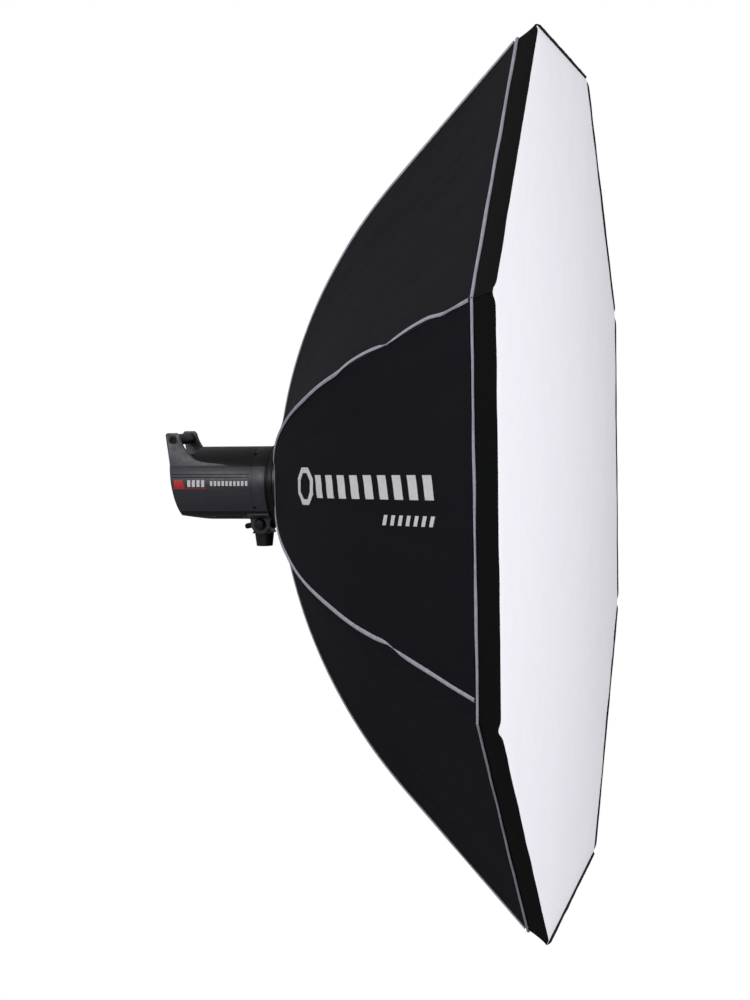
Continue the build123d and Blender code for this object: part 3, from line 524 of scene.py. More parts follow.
@dataclass(frozen=True)
class Profile:
    """The fabric's outline in a rod's plane: a bow that runs into a straight stretch."""

    rim_radius: float
    rim_y: float
    hub_radius: float = 0.108
    hub_y: float = -0.054
    hub_slope: float = math.radians(14.0)
    rim_slope: float = math.radians(44.5)

    @property
    def straight(self) -> float:
        """Length of the straight stretch, from the two ends and the two slopes."""
        sin_a, cos_a = math.sin(self.hub_slope), math.cos(self.hub_slope)
        sin_b, cos_b = math.sin(self.rim_slope), math.cos(self.rim_slope)
        rise, run = self.rim_radius - self.hub_radius, self.hub_y - self.rim_y
        over = (cos_a - cos_b) * rise - (sin_b - sin_a) * run
        return over / ((cos_a - cos_b) * cos_b - (sin_b - sin_a) * sin_b)

    @property
    def bow(self) -> float:
        """Radius of the bowed stretch."""
        rise = self.rim_radius - self.hub_radius - self.straight * math.cos(self.rim_slope)
        return rise / (math.sin(self.rim_slope) - math.sin(self.hub_slope))

    @property
    def length(self) -> float:
        """Length of the whole outline."""
        return self.bow * (self.rim_slope - self.hub_slope) + self.straight

    def at(self, run: float) -> tuple[float, float, float]:
        """The outline at a distance from the hub.

        Args:
            run: the distance along the outline.

        Returns:
            The radius, Y and slope there.
        """
        slope = min(self.hub_slope + run / self.bow, self.rim_slope)
        past = max(0.0, run - self.bow * (self.rim_slope - self.hub_slope))
        radius = self.hub_radius + self.bow * (math.sin(slope) - math.sin(self.hub_slope))
        y = self.hub_y - self.bow * (math.cos(self.hub_slope) - math.cos(slope))
        return radius + past * math.cos(slope), y - past * math.sin(slope), slope

    def run_to(self, radius: float) -> float:
        """Distance from the hub to where the bow reaches a radius."""
        rise = math.sin(self.hub_slope) + (radius - self.hub_radius) / self.bow
        return self.bow * (math.asin(rise) - self.hub_slope)


def side_point(side: float, u: float, corner: float, y: float, out: float = 0.0,
               back: float = 0.0) -> Vector:
    """A point on a flat side of an octagon round the optical axis.

    Args:
        side: the side's number, counted from straight up towards +X.
        u: share across the side, -1 at one corner and 1 at the next.
        corner: the octagon's radius to its corners.
        y: how far along the axis.
        out: how far the point stands off the side.
        back: how far it is moved towards +Y.

    Returns:
        The point in the row frame.
    """
    outward, along = directions(STEP * side)
    flat = corner * COS_HALF + out
    centre = Vector((0, y + back, AXIS_HEIGHT))
    return centre + outward * flat + along * (corner * COS_HALF * TAN_HALF * u)


class FoldGroup:
    """The node group that gathers the cloth as the rods fold forward.

    It reads the first rod's turn from its body. Each point keeps its place on its rod's outline,
    and the cloth between two rods goes into pleats as they come together.
    """

    PLEATS = 3

    def __init__(self) -> None:
        """Builds the group once."""
        pivot = joint_place("rod_1_fold")
        self.pivot_radius = math.hypot(pivot.x, pivot.z - AXIS_HEIGHT)
        self.pivot_y = pivot.y
        self.tree = bpy.data.node_groups.new("octabox_fold", "GeometryNodeTree")
        face = self.tree.interface
        face.new_socket("Geometry", in_out="INPUT", socket_type="NodeSocketGeometry")
        face.new_socket("Edge", in_out="INPUT", socket_type="NodeSocketFloat")
        face.new_socket("Billow", in_out="INPUT", socket_type="NodeSocketFloat")
        face.new_socket("Geometry", in_out="OUTPUT", socket_type="NodeSocketGeometry")
        self.build()

    def calc(self, operation: str, *values: bpy.types.NodeSocket | float) -> bpy.types.NodeSocket:
        """One step of arithmetic on sockets or numbers."""
        inputs = dict(enumerate(values))
        return add_node(self.tree, "ShaderNodeMath", {"operation": operation}, inputs).outputs[0]

    def build(self) -> None:
        """Lays out the nodes."""
        tree, calc = self.tree, self.calc
        add, less, times, over = (partial(calc, operation) for operation in
                                  ("ADD", "SUBTRACT", "MULTIPLY", "DIVIDE"))
        given = add_node(tree, "NodeGroupInput").outputs
        rod = add_node(tree, "GeometryNodeObjectInfo", {"transform_space": "RELATIVE"},
                       {"Object": frame["bodies"]["rod_1"]})
        turn = add_node(tree, "FunctionNodeRotationToAxisAngle", None,
                        {"Rotation": rod.outputs["Rotation"]}).outputs["Angle"]
        place = add_node(tree, "ShaderNodeSeparateXYZ", None,
                         {0: add_node(tree, "GeometryNodeInputPosition").outputs[0]}).outputs
        x, y, z = place[0], place[1], less(place[2], AXIS_HEIGHT)
        angle = calc("ARCTAN2", x, z)
        middle = times(calc("ROUND", over(angle, STEP)), STEP)
        flat = add(times(x, calc("SINE", middle)), times(z, calc("COSINE", middle)))
        corner = calc("MAXIMUM", over(flat, COS_HALF), 0.001)
        held = calc("MAXIMUM", corner, given["Edge"])
        arm, lead = less(held, self.pivot_radius), less(y, self.pivot_y)
        sine, cosine = calc("SINE", turn), calc("COSINE", turn)
        radius = add(add(times(arm, cosine), times(lead, sine)), self.pivot_radius)
        forward = add(less(times(lead, cosine), times(arm, sine)), self.pivot_y)
        scale = over(radius, held)
        slack = calc("SQRT", calc("MAXIMUM", less(1.0, times(scale, scale)), 0.0))
        across = over(less(angle, middle), STEP)
        wave = calc("SINE", times(add(across, 0.5), math.pi * self.PLEATS))
        pleat = times(times(wave, wave), times(slack, math.sin(HALF_STEP) / self.PLEATS))
        spread = add(scale, pleat)
        inward = less(1.0, calc("POWER", over(corner, held), 2.0))
        drop = times(times(inward, slack), given["Billow"])
        moved = add_node(tree, "ShaderNodeCombineXYZ", None, {
            0: times(x, spread), 1: less(forward, drop), 2: add(times(z, spread), AXIS_HEIGHT)})
        folded = calc("GREATER_THAN", turn, 1e-4)
        out = add_node(tree, "GeometryNodeSetPosition", None, {
            "Geometry": given["Geometry"], "Selection": folded,
            "Position": moved.outputs[0]})
        add_node(tree, "NodeGroupOutput", None, {0: out.outputs[0]})

    def apply(self, piece: bpy.types.Object, edge: float = 0.0, billow: float = 0.0) -> None:
        """Lets a piece gather with the fold.

        Args:
            piece: a cloth piece that rides on the octabox.
            edge: the corner radius where a sheet across the box is held, or 0 on the box itself.
            billow: how far the middle of such a sheet can blow forward, in metres.
        """
        modifier = piece.modifiers.new("fold", "NODES")
        modifier.node_group = self.tree
        keys = {item.name: item.identifier for item in self.tree.interface.items_tree
                if item.in_out == "INPUT"}
        modifier[keys["Edge"]] = edge
        modifier[keys["Billow"]] = billow


@dataclass(frozen=True)
class BarRow:
    """A row of printed bars, in metres along and across the surface that they are on."""

    start: float
    middle: float
    count: int
    pitch: float
    width: float
    height: float
    slant: float = 0.0


@dataclass
class Octabox:
    """The folding softbox: gores, tapes, lip, diffusers and skirt, all on the octabox body."""

    fabric: float = 0.8 * MM
    gore_start: float = 0.114
    seam_gap: float = 7.0 * MM
    hollow: float = 9.0 * MM            # how far a gore's middle is drawn in by its tension
    piping_half: float = 3.7 * MM
    rim_piping_half: float = 3.4 * MM
    near_rods: tuple[int, ...] = (6, 7)
    kink: float = 0.74                  # share along the near rods where their tape is twisted
    mark_side: int = 6
    mark_centre: tuple[float, float] = (0.338, 0.0155)
    mark_ring: tuple[float, float] = (0.046, 0.036)
    mark_rise: float = 0.038            # how much the mark's rows climb along the gore
    mark_rows: tuple[BarRow, ...] = (
        BarRow(0.395, 0.0, 9, 0.0468, 0.027, 0.040, -0.009),
        BarRow(0.640, -0.054, 7, 0.0245, 0.0115, 0.017, 0.007),
    )
    gore_fill: float = 0.56             # share of its rectangle that a gore's outline fills
    front_crown: float = 11.0 * MM      # how far the front sheet's middle stands proud
    front_billow: float = 0.22          # how far it can blow forward when the rods are folded
    inner_billow: float = 0.12
    skirt_hem: float = 75.5 * MM        # from the axis to the middle of the skirt's hem on a side
    skirt_flat: tuple[float, float] = (0.66, 0.031)
    skirt_gathers: int = 7
    pocket_radius: float = 6.2 * MM
    pocket_length: float = 44 * MM
    body: str = "octabox"
    fold: FoldGroup = field(default_factory=FoldGroup)

    def __post_init__(self) -> None:
        """Takes the sizes that the CAD frame gives."""
        rim_low, rim_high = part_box("rim_piping")
        lip_low, lip_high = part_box("lip_band")
        rim_half = rim_high.z - AXIS_HEIGHT - 3.0 * MM
        self.front_half = lip_high.z - AXIS_HEIGHT
        self.front_y = lip_low.y
        self.lip_back = lip_high.y
        self.profile = Profile(rim_half / COS_HALF, (rim_low.y + rim_high.y) / 2)
        self.start = self.profile.run_to(self.gore_start)
        self.end = self.profile.length - self.seam_gap

    def sewn(self, name: str, bm: bmesh.types.BMesh, finish: Finish, slot: Slot, node: str,
             sharp: float = 40.0) -> bpy.types.Object:
        """A cloth piece on the octabox that stands for a CAD node.

        Args:
            name: the piece's name.
            bm: its mesh, which is freed.
            finish: its finish.
            slot: the record's material slot.
            node: the CAD node.
            sharp: edges that turn by more than this many degrees stay sharp.

        Returns:
            The new piece.
        """
        piece = new_piece(name, bm, self.body, finish, slot, sharp)
        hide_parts(node)
        return piece

    def gore_point(self, side: int, u: float, v: float) -> Vector:
        """A point on a gore's outer face.

        Args:
            side: the gore's number.
            u: share across, from -1 at one rod to 1 at the next.
            v: share from the hub edge, 0, to the rim seam, 1.

        Returns:
            The point, with the hollow and the small wrinkles of stretched cloth.
        """
        radius, y, slope = self.profile.at(self.start + (self.end - self.start) * v)
        inside = 1 - u * u
        span = math.sin(math.pi * min(1.0, v * 1.02))
        sag = -self.hollow * inside * span
        width = radius * 2 * COS_HALF * TAN_HALF
        edge = ease((1 - abs(u)) * width / 0.05)
        ends = ease(v / 0.06) * ease((1 - v) / 0.05)
        broad = ripple(u * width * 5, v * 4, side * 7.3) * 2.2 * MM
        drag = ripple(u * 9, v * 2.5, side * 3.1 + 40) * 1.1 * MM
        near_rod = ease(1 - (1 - abs(u)) * width / 0.16)
        pucker = ripple(u * 3, v * 34, side * 5.7 + 80) * 0.9 * MM * near_rod
        lift = sag + (broad + drag * (0.4 + v) + pucker) * edge * ends - 0.35 * MM
        tilt = face_tilt(slope)
        return side_point(side, u, radius, y, lift * math.sin(tilt), lift * math.cos(tilt))

    def gores(self) -> list[bpy.types.Object]:
        """The eight gores of black nylon.

        Returns:
            One piece for each gore.
        """
        length = self.end - self.start
        rim_width = 2 * self.profile.rim_radius * math.sin(HALF_STEP)
        made = []
        for side in range(1, SIDES + 1):
            patch = cloth_patch(56, 96, partial(self.gore_point, side), (rim_width, length),
                                self.fabric)
            piece = self.sewn(f"gore_{side}", patch, GORE_NYLON, Slot.NYLON, "gore_panels")
            self.fold.apply(piece)
            made.append(piece)
        return made

    def tape_drift(self, rod: int, v: float) -> float:
        """How far the tape has slid off a rod's line, towards the next side.

        Args:
            rod: the rod's number.
            v: share along the rod.

        Returns:
            The distance in metres. The tapes of the two near rods have slid: the upper one in two
            humps that meet at its kink, the lower one more and more towards the rim.
        """
        sway = 1.6 * MM * ripple(v * 9, 5, rod * 2.3) * ease(v / 0.05) * ease((1 - v) / 0.05)
        if rod == self.near_rods[1]:
            past = v - self.kink
            humps = abs(math.sin(5 * math.pi * past)) * ease((0.2 - abs(past)) / 0.07)
            return sway + 11 * MM * humps
        if rod == self.near_rods[0]:
            bump = math.exp(-((v - self.kink + 0.02) / 0.03) ** 2)
            return sway + 31 * MM * v ** 1.35 + 2.5 * MM * bump
        return sway

    def tape_point(self, rod: int, u: float, v: float) -> Vector:
        """A point on the tape over a rod, which is pinched where the near rods' cloth twists.

        Args:
            rod: the rod's number.
            u: share across the tape.
            v: share along it.

        Returns:
            The point on its outer face.
        """
        radius, y, slope = self.profile.at(self.start + (self.end - self.start) * v)
        pinch = 0.0
        if rod in self.near_rods:
            pinch = 0.9 * math.exp(-((v - self.kink) / 0.022) ** 2)
        if rod == self.near_rods[1]:
            pinch += 0.55 * math.exp(-((v - 0.945) / 0.025) ** 2)
        width = self.piping_half * (1 - pinch) * (0.9 + 0.2 * ripple(v * 7, 0, rod * 4.2))
        across = u * width + self.tape_drift(rod, v)
        off_ridge = min(1.0, abs(across) / (radius * COS_HALF * TAN_HALF))
        dip = self.hollow * off_ridge * (2 - off_ridge) * math.sin(math.pi * v)
        lift = (1.9 - 1.5 * u * u - 0.6 * pinch) * MM - dip
        outward, along = directions(STEP * (rod - 0.5))
        centre = Vector((0, y + lift * math.cos(slope), AXIS_HEIGHT))
        reach = radius - abs(across) * TAN_HALF + lift * math.sin(slope)
        return centre + outward * reach + along * across

    def rod_piping(self) -> list[bpy.types.Object]:
        """The pale tape sewn along each rod.

        Returns:
            One piece for each rod.
        """
        made = []
        for rod in range(1, SIDES + 1):
            patch = cloth_patch(6, 220, partial(self.tape_point, rod),
                                (2 * self.piping_half, self.end - self.start), 0.9 * MM)
            piece = self.sewn(f"rod_tape_{rod}", patch, PIPING_TAPE, Slot.PIPING, "rod_piping", 60)
            self.fold.apply(piece)
            made.append(piece)
        return made

    def rim_piping(self) -> bpy.types.Object:
        """The pale piping between the gores and the lip, one tape round the rim.

        Returns:
            The piece.
        """
        corner = self.profile.rim_radius
        side_length = 2 * corner * math.sin(HALF_STEP)

        def place(side: int, u: float, v: float) -> Vector:
            """A point on one side's tape, rounded across and wavering a little along."""
            turn = math.pi * (v - 0.5)
            waver = 1.0 * MM * ripple(u * 4, 1, side * 9.1) * (1 - u ** 6)
            half = self.rim_piping_half * (0.85 + 0.3 * ripple(u * 3, 8, side * 1.7))
            lean = math.sin(turn) * half
            crown = 2.2 * MM * math.cos(turn)
            y = self.profile.rim_y + waver - lean * 0.8
            return side_point(side, u, corner + lean * 0.55, y, crown * 0.75, crown * 0.5)

        ring = ring_of(60, 8, place, (side_length, 10 * MM), 0.8 * MM)
        piece = self.sewn("rim_tape", ring, PIPING_TAPE, Slot.PIPING, "rim_piping", 60)
        self.fold.apply(piece)
        return piece

    def hub_piping(self) -> bpy.types.Object:
        """The thin piping round the gores' hub edge.

        Returns:
            The piece.
        """
        radius, y, _ = self.profile.at(self.start)

        def place(side: int, u: float, v: float) -> Vector:
            """A point on the piping's round face."""
            turn = math.pi * (v - 0.5)
            return side_point(side, u, radius - 0.4 * MM + 1.3 * MM * math.sin(turn), y + 0.3 * MM,
                              0.0, 1.1 * MM * math.cos(turn))

        flat = (2 * radius * math.sin(HALF_STEP), 4 * MM)
        return self.sewn("hub_tape", ring_of(12, 6, place, flat, 0.6 * MM), PIPING_TAPE,
                         Slot.PIPING, "hub_piping", 60)

    def lip_point(self, side: int, u: float, v: float) -> Vector:
        """A point on the lip: v is 0 at the rim piping and 1 at the front edge.

        Args:
            side: the side's number.
            u: share across the side.
            v: share from back to front.

        Returns:
            The point on the lip's outer face, creased and notched at its corners.
        """
        back, front = self.profile.rim_radius, self.front_half / COS_HALF
        corner = back + (front - back) * v
        y = self.lip_back + (self.front_y - self.lip_back) * v
        near = math.exp(-((1 - abs(u)) / 0.035) ** 2)
        notch = 5.5 * MM * near * v ** 3
        bulge = 1.6 * MM * math.sin(math.pi * v) * (1 - u ** 8)
        crease = 0.8 * MM * ripple(u * 11, v * 0.8, side * 6.1) * v
        waver = 1.0 * MM * ripple(u * 5, 3, side * 8.3) * v * v * (1 - u ** 4)
        tuck = -1.2 * MM * math.exp(-((1 - abs(u)) / 0.012) ** 2)
        return side_point(side, u, corner, y + notch + waver, bulge + crease * (1 - u ** 6) + tuck)

    def lip_band(self) -> bpy.types.Object:
        """The ribbed black lip between the rim piping and the front edge.

        Returns:
            The piece.
        """
        side_length = 2 * self.front_half * TAN_HALF
        depth = math.hypot(self.front_half - self.profile.rim_radius * COS_HALF,
                           self.lip_back - self.front_y)
        ring = ring_of(96, 12, self.lip_point, (side_length, depth), 1.4 * MM)
        piece = self.sewn("lip_tape_band", ring, LOOP_TAPE, Slot.TAPE, "lip_band")
        self.fold.apply(piece)
        return piece

    def front_diffuser(self) -> bpy.types.Object:
        """The white front sheet, crowned a little and drawn into the lip at its edge.

        Returns:
            The piece.
        """
        half = self.front_half - 2.6 * MM
        corner = half / COS_HALF

        def place(side: int, u: float, v: float) -> Vector:
            """A point in one of the sheet's eight triangles, v from the centre to the edge."""
            point = side_point(side, u, corner * v, 0.0)
            edge = ease((1 - v) / 0.03)
            pull = 1.4 * MM * ripple(point.x * 5, point.z * 5, 2.9) * math.sin(math.pi * v)
            drag = 1.6 * MM * ripple(point.x * 14, point.z * 14, 4.4) * v ** 6 * edge
            dip = 3.5 * MM * (1 - edge)
            crown = self.front_crown * (1 - v * v)
            point.y = self.front_y - crown - (pull + drag) * v + dip + 0.4 * MM
            return point

        sheet = octagon_sheet((40, 44), place, half, 0.8 * MM)
        piece = self.sewn("front_sheet", sheet, DIFFUSER_NYLON, Slot.DIFFUSER, "front_diffuser")
        self.fold.apply(piece, self.front_half / COS_HALF - 2 * MM, self.front_billow)
        return piece

    def diffuser_hem(self) -> bpy.types.Object:
        """The hook tape sewn inside the lip, which the front sheet presses on.

        Returns:
            The piece.
        """
        low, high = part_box("diffuser_hem")
        half, depth = high.z - AXIS_HEIGHT, high.y - low.y

        def place(side: int, u: float, v: float) -> Vector:
            """A point on the tape, wavering a little."""
            waver = 0.7 * MM * ripple(u * 8, v, side * 3.3) * (1 - u ** 4)
            return side_point(side, u, half / COS_HALF, low.y + depth * v, waver - MM)

        flat = (2 * half * TAN_HALF, depth)
        ring = ring_of(48, 4, place, flat, 1.0 * MM)
        piece = self.sewn("hook_tape_hem", ring, LOOP_TAPE, Slot.TAPE, "diffuser_hem")
        self.fold.apply(piece)
        return piece

    def inner_diffuser(self) -> bpy.types.Object:
        """The white inner sheet, hung by its corners inside the box.

        Returns:
            The piece.
        """
        low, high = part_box("inner_diffuser")
        half, middle = high.z - AXIS_HEIGHT, (low.y + high.y) / 2
        corner = half / COS_HALF

        def place(side: int, u: float, v: float) -> Vector:
            """A point in one triangle, its free edge drawn in between the corners."""
            scoop = 1 - 0.045 * (1 - u * u) * v ** 4
            point = side_point(side, u, corner * v * scoop, 0.0)
            sag = 6 * MM * (1 - v * v) + 2 * MM * ripple(point.x * 9, point.z * 9, 2.2)
            point.y = middle - sag * (1 - v ** 8)
            return point

        sheet = octagon_sheet((24, 24), place, half, 0.7 * MM)
        piece = self.sewn("inner_sheet", sheet, DIFFUSER_NYLON, Slot.DIFFUSER, "inner_diffuser")
        self.fold.apply(piece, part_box("diffuser_straps")[1].z - AXIS_HEIGHT, self.inner_billow)
        return piece

    def straps(self) -> bpy.types.Object:
        """The eight elastic straps from the inner sheet's corners to the rods.

        Returns:
            The piece.
        """
        inner_low, inner_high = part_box("inner_diffuser")
        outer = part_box("diffuser_straps")[1].z - AXIS_HEIGHT
        reach = outer / COS_HALF
        start, y = (inner_high.z - AXIS_HEIGHT) / COS_HALF, (inner_low.y + inner_high.y) / 2

        def place(rod: int, u: float, v: float) -> Vector:
            """A point on one strap, waisted by its pull."""
            outward, along = directions(STEP * (rod - 0.5))
            wide = 5 * MM * (1 - 0.25 * math.sin(math.pi * v))
            radius = start + (reach - start) * v
            return Vector((0, y, AXIS_HEIGHT)) + outward * radius + along * (u * wide)

        ring = ring_of(4, 20, place, (10 * MM, reach - start), 1.0 * MM)
        piece = self.sewn("corner_straps", ring, ELASTIC_BRAID, Slot.ELASTIC, "diffuser_straps")
        self.fold.apply(piece, outer)
        return piece

    def tip_pockets(self) -> bpy.types.Object:
        """The eight sewn sleeves that hold the rods' tips.

        Returns:
            The piece.
        """
        depth, slope = 9 * MM, self.profile.rim_slope
        parts = []
        for rod in range(1, SIDES + 1):
            radius, y, _ = self.profile.at(self.profile.length - 50 * MM)
            radius, y = radius - depth * math.sin(slope), y - depth * math.cos(slope)
            bm = bmesh.new()
            bmesh.ops.create_cone(bm, cap_ends=True, cap_tris=False, segments=24,
                                  radius1=self.pocket_radius, radius2=self.pocket_radius * 0.92,
                                  depth=self.pocket_length)
            bmesh.ops.translate(bm, verts=bm.verts, vec=(0, 0, self.pocket_length / 2))
            bottom = [f for f in bm.faces if f.calc_center_median().z < 1e-6]
            bmesh.ops.delete(bm, geom=bottom, context="FACES_ONLY")
            bmesh.ops.subdivide_edges(bm, edges=[e for e in bm.edges if not e.is_boundary], cuts=6)
            for vert in bm.verts:
                ruck = 0.5 * MM * ripple(vert.co.x * 300, vert.co.z * 120, rod * 3.7)
                vert.co += Vector((vert.co.x, vert.co.y, 0)).normalized() * ruck
            bmesh.ops.rotate(bm, verts=bm.verts, matrix=Matrix.Rotation(slope, 3, "X"))
            bmesh.ops.translate(bm, verts=bm.verts, vec=(0, y, radius))
            turn = Matrix.Rotation(STEP * (rod - 0.5), 3, "Y")
            bmesh.ops.rotate(bm, verts=bm.verts, matrix=turn)
            bmesh.ops.translate(bm, verts=bm.verts, vec=(0, 0, AXIS_HEIGHT))
            bm.loops.layers.uv.verify()
            parts.append(bm)
        piece = self.sewn("tip_sleeves", joined(parts), LOOP_TAPE, Slot.TAPE, "tip_pockets")
        self.fold.apply(piece)
        return piece

    def rear_skirt(self) -> bpy.types.Object:
        """The elastic skirt from the hub edge to the adaptor, gathered at its hem.

        Returns:
            The piece.
        """
        low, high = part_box("rear_skirt")
        outer = (high.z - AXIS_HEIGHT) / COS_HALF - 1.2 * MM
        inner = self.skirt_hem / COS_HALF + 0.6 * MM

        def place(side: int, u: float, v: float) -> Vector:
            """A point on one side of the skirt, v from the hub edge to the hem."""
            fold = math.cos(math.pi * self.skirt_gathers * (u + 1)) * math.sin(math.pi * v)
            swell = (0.9 + 0.4 * ripple(u * 4, v * 3, side * 3.9)) * MM * fold
            corner = outer + (inner - outer) * v
            y = low.y + 0.9 * MM + (high.y - low.y - 1.6 * MM) * v
            return side_point(side, u, corner, y + swell)

        side_flat = (self.skirt_flat[0] / SIDES, self.skirt_flat[1])
        piece = self.sewn("gathered_skirt", ring_of(56, 12, place, side_flat, 0.7 * MM),
                          GORE_NYLON, Slot.NYLON, "rear_skirt", 70)
        return piece

    def printed_mark(self) -> bpy.types.Object:
        """A plain mark on the gore at -X: an octagon ring and two rows of slanted bars.

        Returns:
            The piece.
        """
        lift = 0.5 * MM
        middle, base = self.mark_centre

        def on_gore(along: float, up: float) -> Vector:
            """The point on the gore's face at a distance from the hub edge and from the mark's line."""
            radius, _, slope = self.profile.at(self.start + along)
            height = base + self.mark_rise * (along - middle) + up
            tilt = face_tilt(slope)
            outward = Vector((-math.sin(tilt), math.cos(tilt), 0))
            face = self.gore_point(self.mark_side, height / (radius * COS_HALF * TAN_HALF),
                                   along / (self.end - self.start))
            return face + outward * lift

        ring = bmesh.new()
        bmesh.ops.create_circle(ring, cap_ends=False, segments=SIDES, radius=1.0)
        bmesh.ops.rotate(ring, verts=ring.verts, matrix=Matrix.Rotation(HALF_STEP, 3, "Z"))
        inner = bmesh.ops.extrude_edge_only(ring, edges=ring.edges)["geom"]
        bmesh.ops.scale(ring, verts=[v for v in inner if isinstance(v, bmesh.types.BMVert)],
                        vec=(0.62, 0.7, 1))
        bmesh.ops.subdivide_edges(ring, edges=ring.edges, cuts=3, use_grid_fill=True)
        for vert in ring.verts:
            vert.co = on_gore(middle + self.mark_ring[0] * vert.co.x, self.mark_ring[1] * vert.co.y)
        ring.loops.layers.uv.verify()
        parts = [ring]
        for row in self.mark_rows:
            for bar in range(row.count):
                left = row.start + bar * row.pitch
                parts.append(cloth_patch(6, 8, lambda u, v: on_gore(
                    left + row.width * (u + 1) / 2 + row.slant * (v - 0.5),
                    row.middle + row.height * (v - 0.5)), (row.width, row.height)))
        whole = joined(parts)
        bmesh.ops.recalc_face_normals(whole, faces=whole.faces)
        piece = new_piece("printed_mark", whole, self.body, WHITE_INK, Slot.PIPING)
        self.fold.apply(piece)
        return piece

    def build(self) -> None:
        """Builds every cloth piece in order."""
        for make in (self.gores, self.rod_piping, self.rim_piping, self.hub_piping,
                     self.front_diffuser, self.lip_band, self.diffuser_hem, self.straps,
                     self.inner_diffuser, self.tip_pockets, self.rear_skirt, self.printed_mark):
            made = make()
            report(*made if isinstance(made, list) else [made])


# ---- The flash head and the stand mount ----

@dataclass
class Hardware:
    """The flash head, speedring, rods and stand mount: CAD pieces with rounded edges."""

    # how far each visible moulding's edges are rounded, in millimetres
    rounding: dict[str, float] = field(default_factory=lambda: {
        "left_shell": 0.8, "right_shell": 0.8, "top_cover": 0.8, "base_cover": 0.6,
        "handle_bar": 1.2, "lock_ring": 0.7, "fork_brackets": 0.8, "socket_block": 0.8,
        "tilt_lever": 1.2, "spigot_screw": 0.4, "control_dial": 0.5, "test_button": 0.5,
        "mode_button": 0.5, "power_rocker": 0.4, "rear_panel": 0.4, "mains_inlet": 0.5,
        "speedring": 0.5, "bayonet_insert": 0.5, "pivot_bolt": 0.5, "retaining_ring": 0.5,
        "fuse_cap": 0.6, "sensor_dome": 0.6,
    })
    edge_angle: float = math.radians(28)
    # the prints on the shells' sides: where they start along Y, the tag, its line and the bars
    print_back: float = 163 * MM
    tag_heights: tuple[float, float] = (-10 * MM, 8.5 * MM)
    tag_length: float = 24 * MM
    tag_slant: float = 7 * MM
    line_length: float = 44 * MM
    line_height: float = 1.1 * MM
    side_rows: tuple[BarRow, ...] = (
        BarRow(28 * MM, 0.75 * MM, 4, 9.6 * MM, 6.4 * MM, 13.5 * MM),
        BarRow(75 * MM, 0.75 * MM, 10, 8 * MM, 5 * MM, 9.5 * MM),
    )

    def body_of(self, node: str) -> str:
        """The body that a CAD node belongs to."""
        bodies = frame["record"]["behaviour"]["bodies"]
        return next(body for body, nodes in bodies.items() if node in nodes)

    def slot_of(self, node: str) -> str:
        """The material slot that the record gives a node."""
        rows = frame["record"]["subparts"]
        return next(row["material_slot"] for row in rows if row["node"] == node)

    def rounded(self, node: str, width: float) -> bpy.types.Object:
        """A copy of a CAD node with its sharp edges rounded, which stands for the node.

        Args:
            node: the CAD node.
            width: the rounding in metres.

        Returns:
            The copy.
        """
        bm = bmesh.new()
        bm.from_mesh(frame["nodes"][node].data)
        bmesh.ops.remove_doubles(bm, verts=bm.verts, dist=0.01 * MM)
        bmesh.ops.dissolve_limit(bm, angle_limit=math.radians(0.5), verts=bm.verts, edges=bm.edges)
        sharp = [e for e in bm.edges if e.is_manifold and e.calc_face_angle(0) > self.edge_angle]
        bmesh.ops.bevel(bm, geom=sharp, offset=width, offset_type="OFFSET", affect="EDGES",
                        segments=3, profile=0.5, material=-1, clamp_overlap=True)
        slot = self.slot_of(node)
        piece = new_piece(f"{node}_rounded", bm, self.body_of(node), SLOT_FINISH[slot], slot, 30)
        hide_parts(node)
        return piece

    def shell_print(self, side: int, start: float, length: float, low: float, high: float,
                    slant: float = 0.0) -> bmesh.types.BMesh:
        """A thin printed patch that follows a side shell.

        Args:
            side: -1 or 1, the side of the head.
            start: how far its rear end lies in front of the prints' rear end.
            length: how far it runs forward, towards -Y.
            low: its lower edge, above the optical axis.
            high: its upper edge.
            slant: how far its front end leans back at the top.

        Returns:
            The patch.
        """
        radius, drop = abs(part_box("left_shell")[0].x), 2 * MM

        def place(u: float, v: float) -> Vector:
            """A point on the patch's face."""
            z = low + (high - low) * v
            y = self.print_back - start - (length - slant * v) * (u + 1) / 2
            x = side * (math.sqrt(radius ** 2 - (z + drop) ** 2) + 0.15 * MM)
            return Vector((x, y, AXIS_HEIGHT + z))

        return cloth_patch(10, 6, place, (length, high - low))

    def side_prints(self, side: int) -> list[bpy.types.Object]:
        """A red tag with its underline and two rows of white bars on a side shell, with no lettering.

        Args:
            side: -1 or 1, the side of the head.

        Returns:
            The red piece and the white one.
        """
        low, high = self.tag_heights
        tag = self.shell_print(side, 0.0, self.tag_length, low, high, self.tag_slant)
        line = self.shell_print(side, self.tag_length, self.line_length, low, low + self.line_height)
        bars = [self.shell_print(side, row.start + row.pitch * k, row.width,
                                 row.middle - row.height / 2, row.middle + row.height / 2)
                for row in self.side_rows for k in range(row.count)]
        where = "left" if side < 0 else "right"
        made = []
        for name, parts, ink, slot in (("side_tag", [tag, line], RED_INK, Slot.LENS),
                                       ("side_bars", bars, WHITE_INK, Slot.PIPING)):
            bm = joined(parts)
            bmesh.ops.recalc_face_normals(bm, faces=bm.faces)
            made.append(new_piece(f"{name}_{where}", bm, "flash_head", ink, slot))
        return made

    def build(self) -> None:
        """Rounds the visible mouldings and dresses every CAD node."""
        for node in frame["nodes"]:
            DRESSER.dress(frame["nodes"][node], SLOT_FINISH[self.slot_of(node)])
        for node, width in self.rounding.items():
            report(self.rounded(node, width * MM))
        for side in (-1, 1):
            report(*self.side_prints(side))


# ---- The studio ----

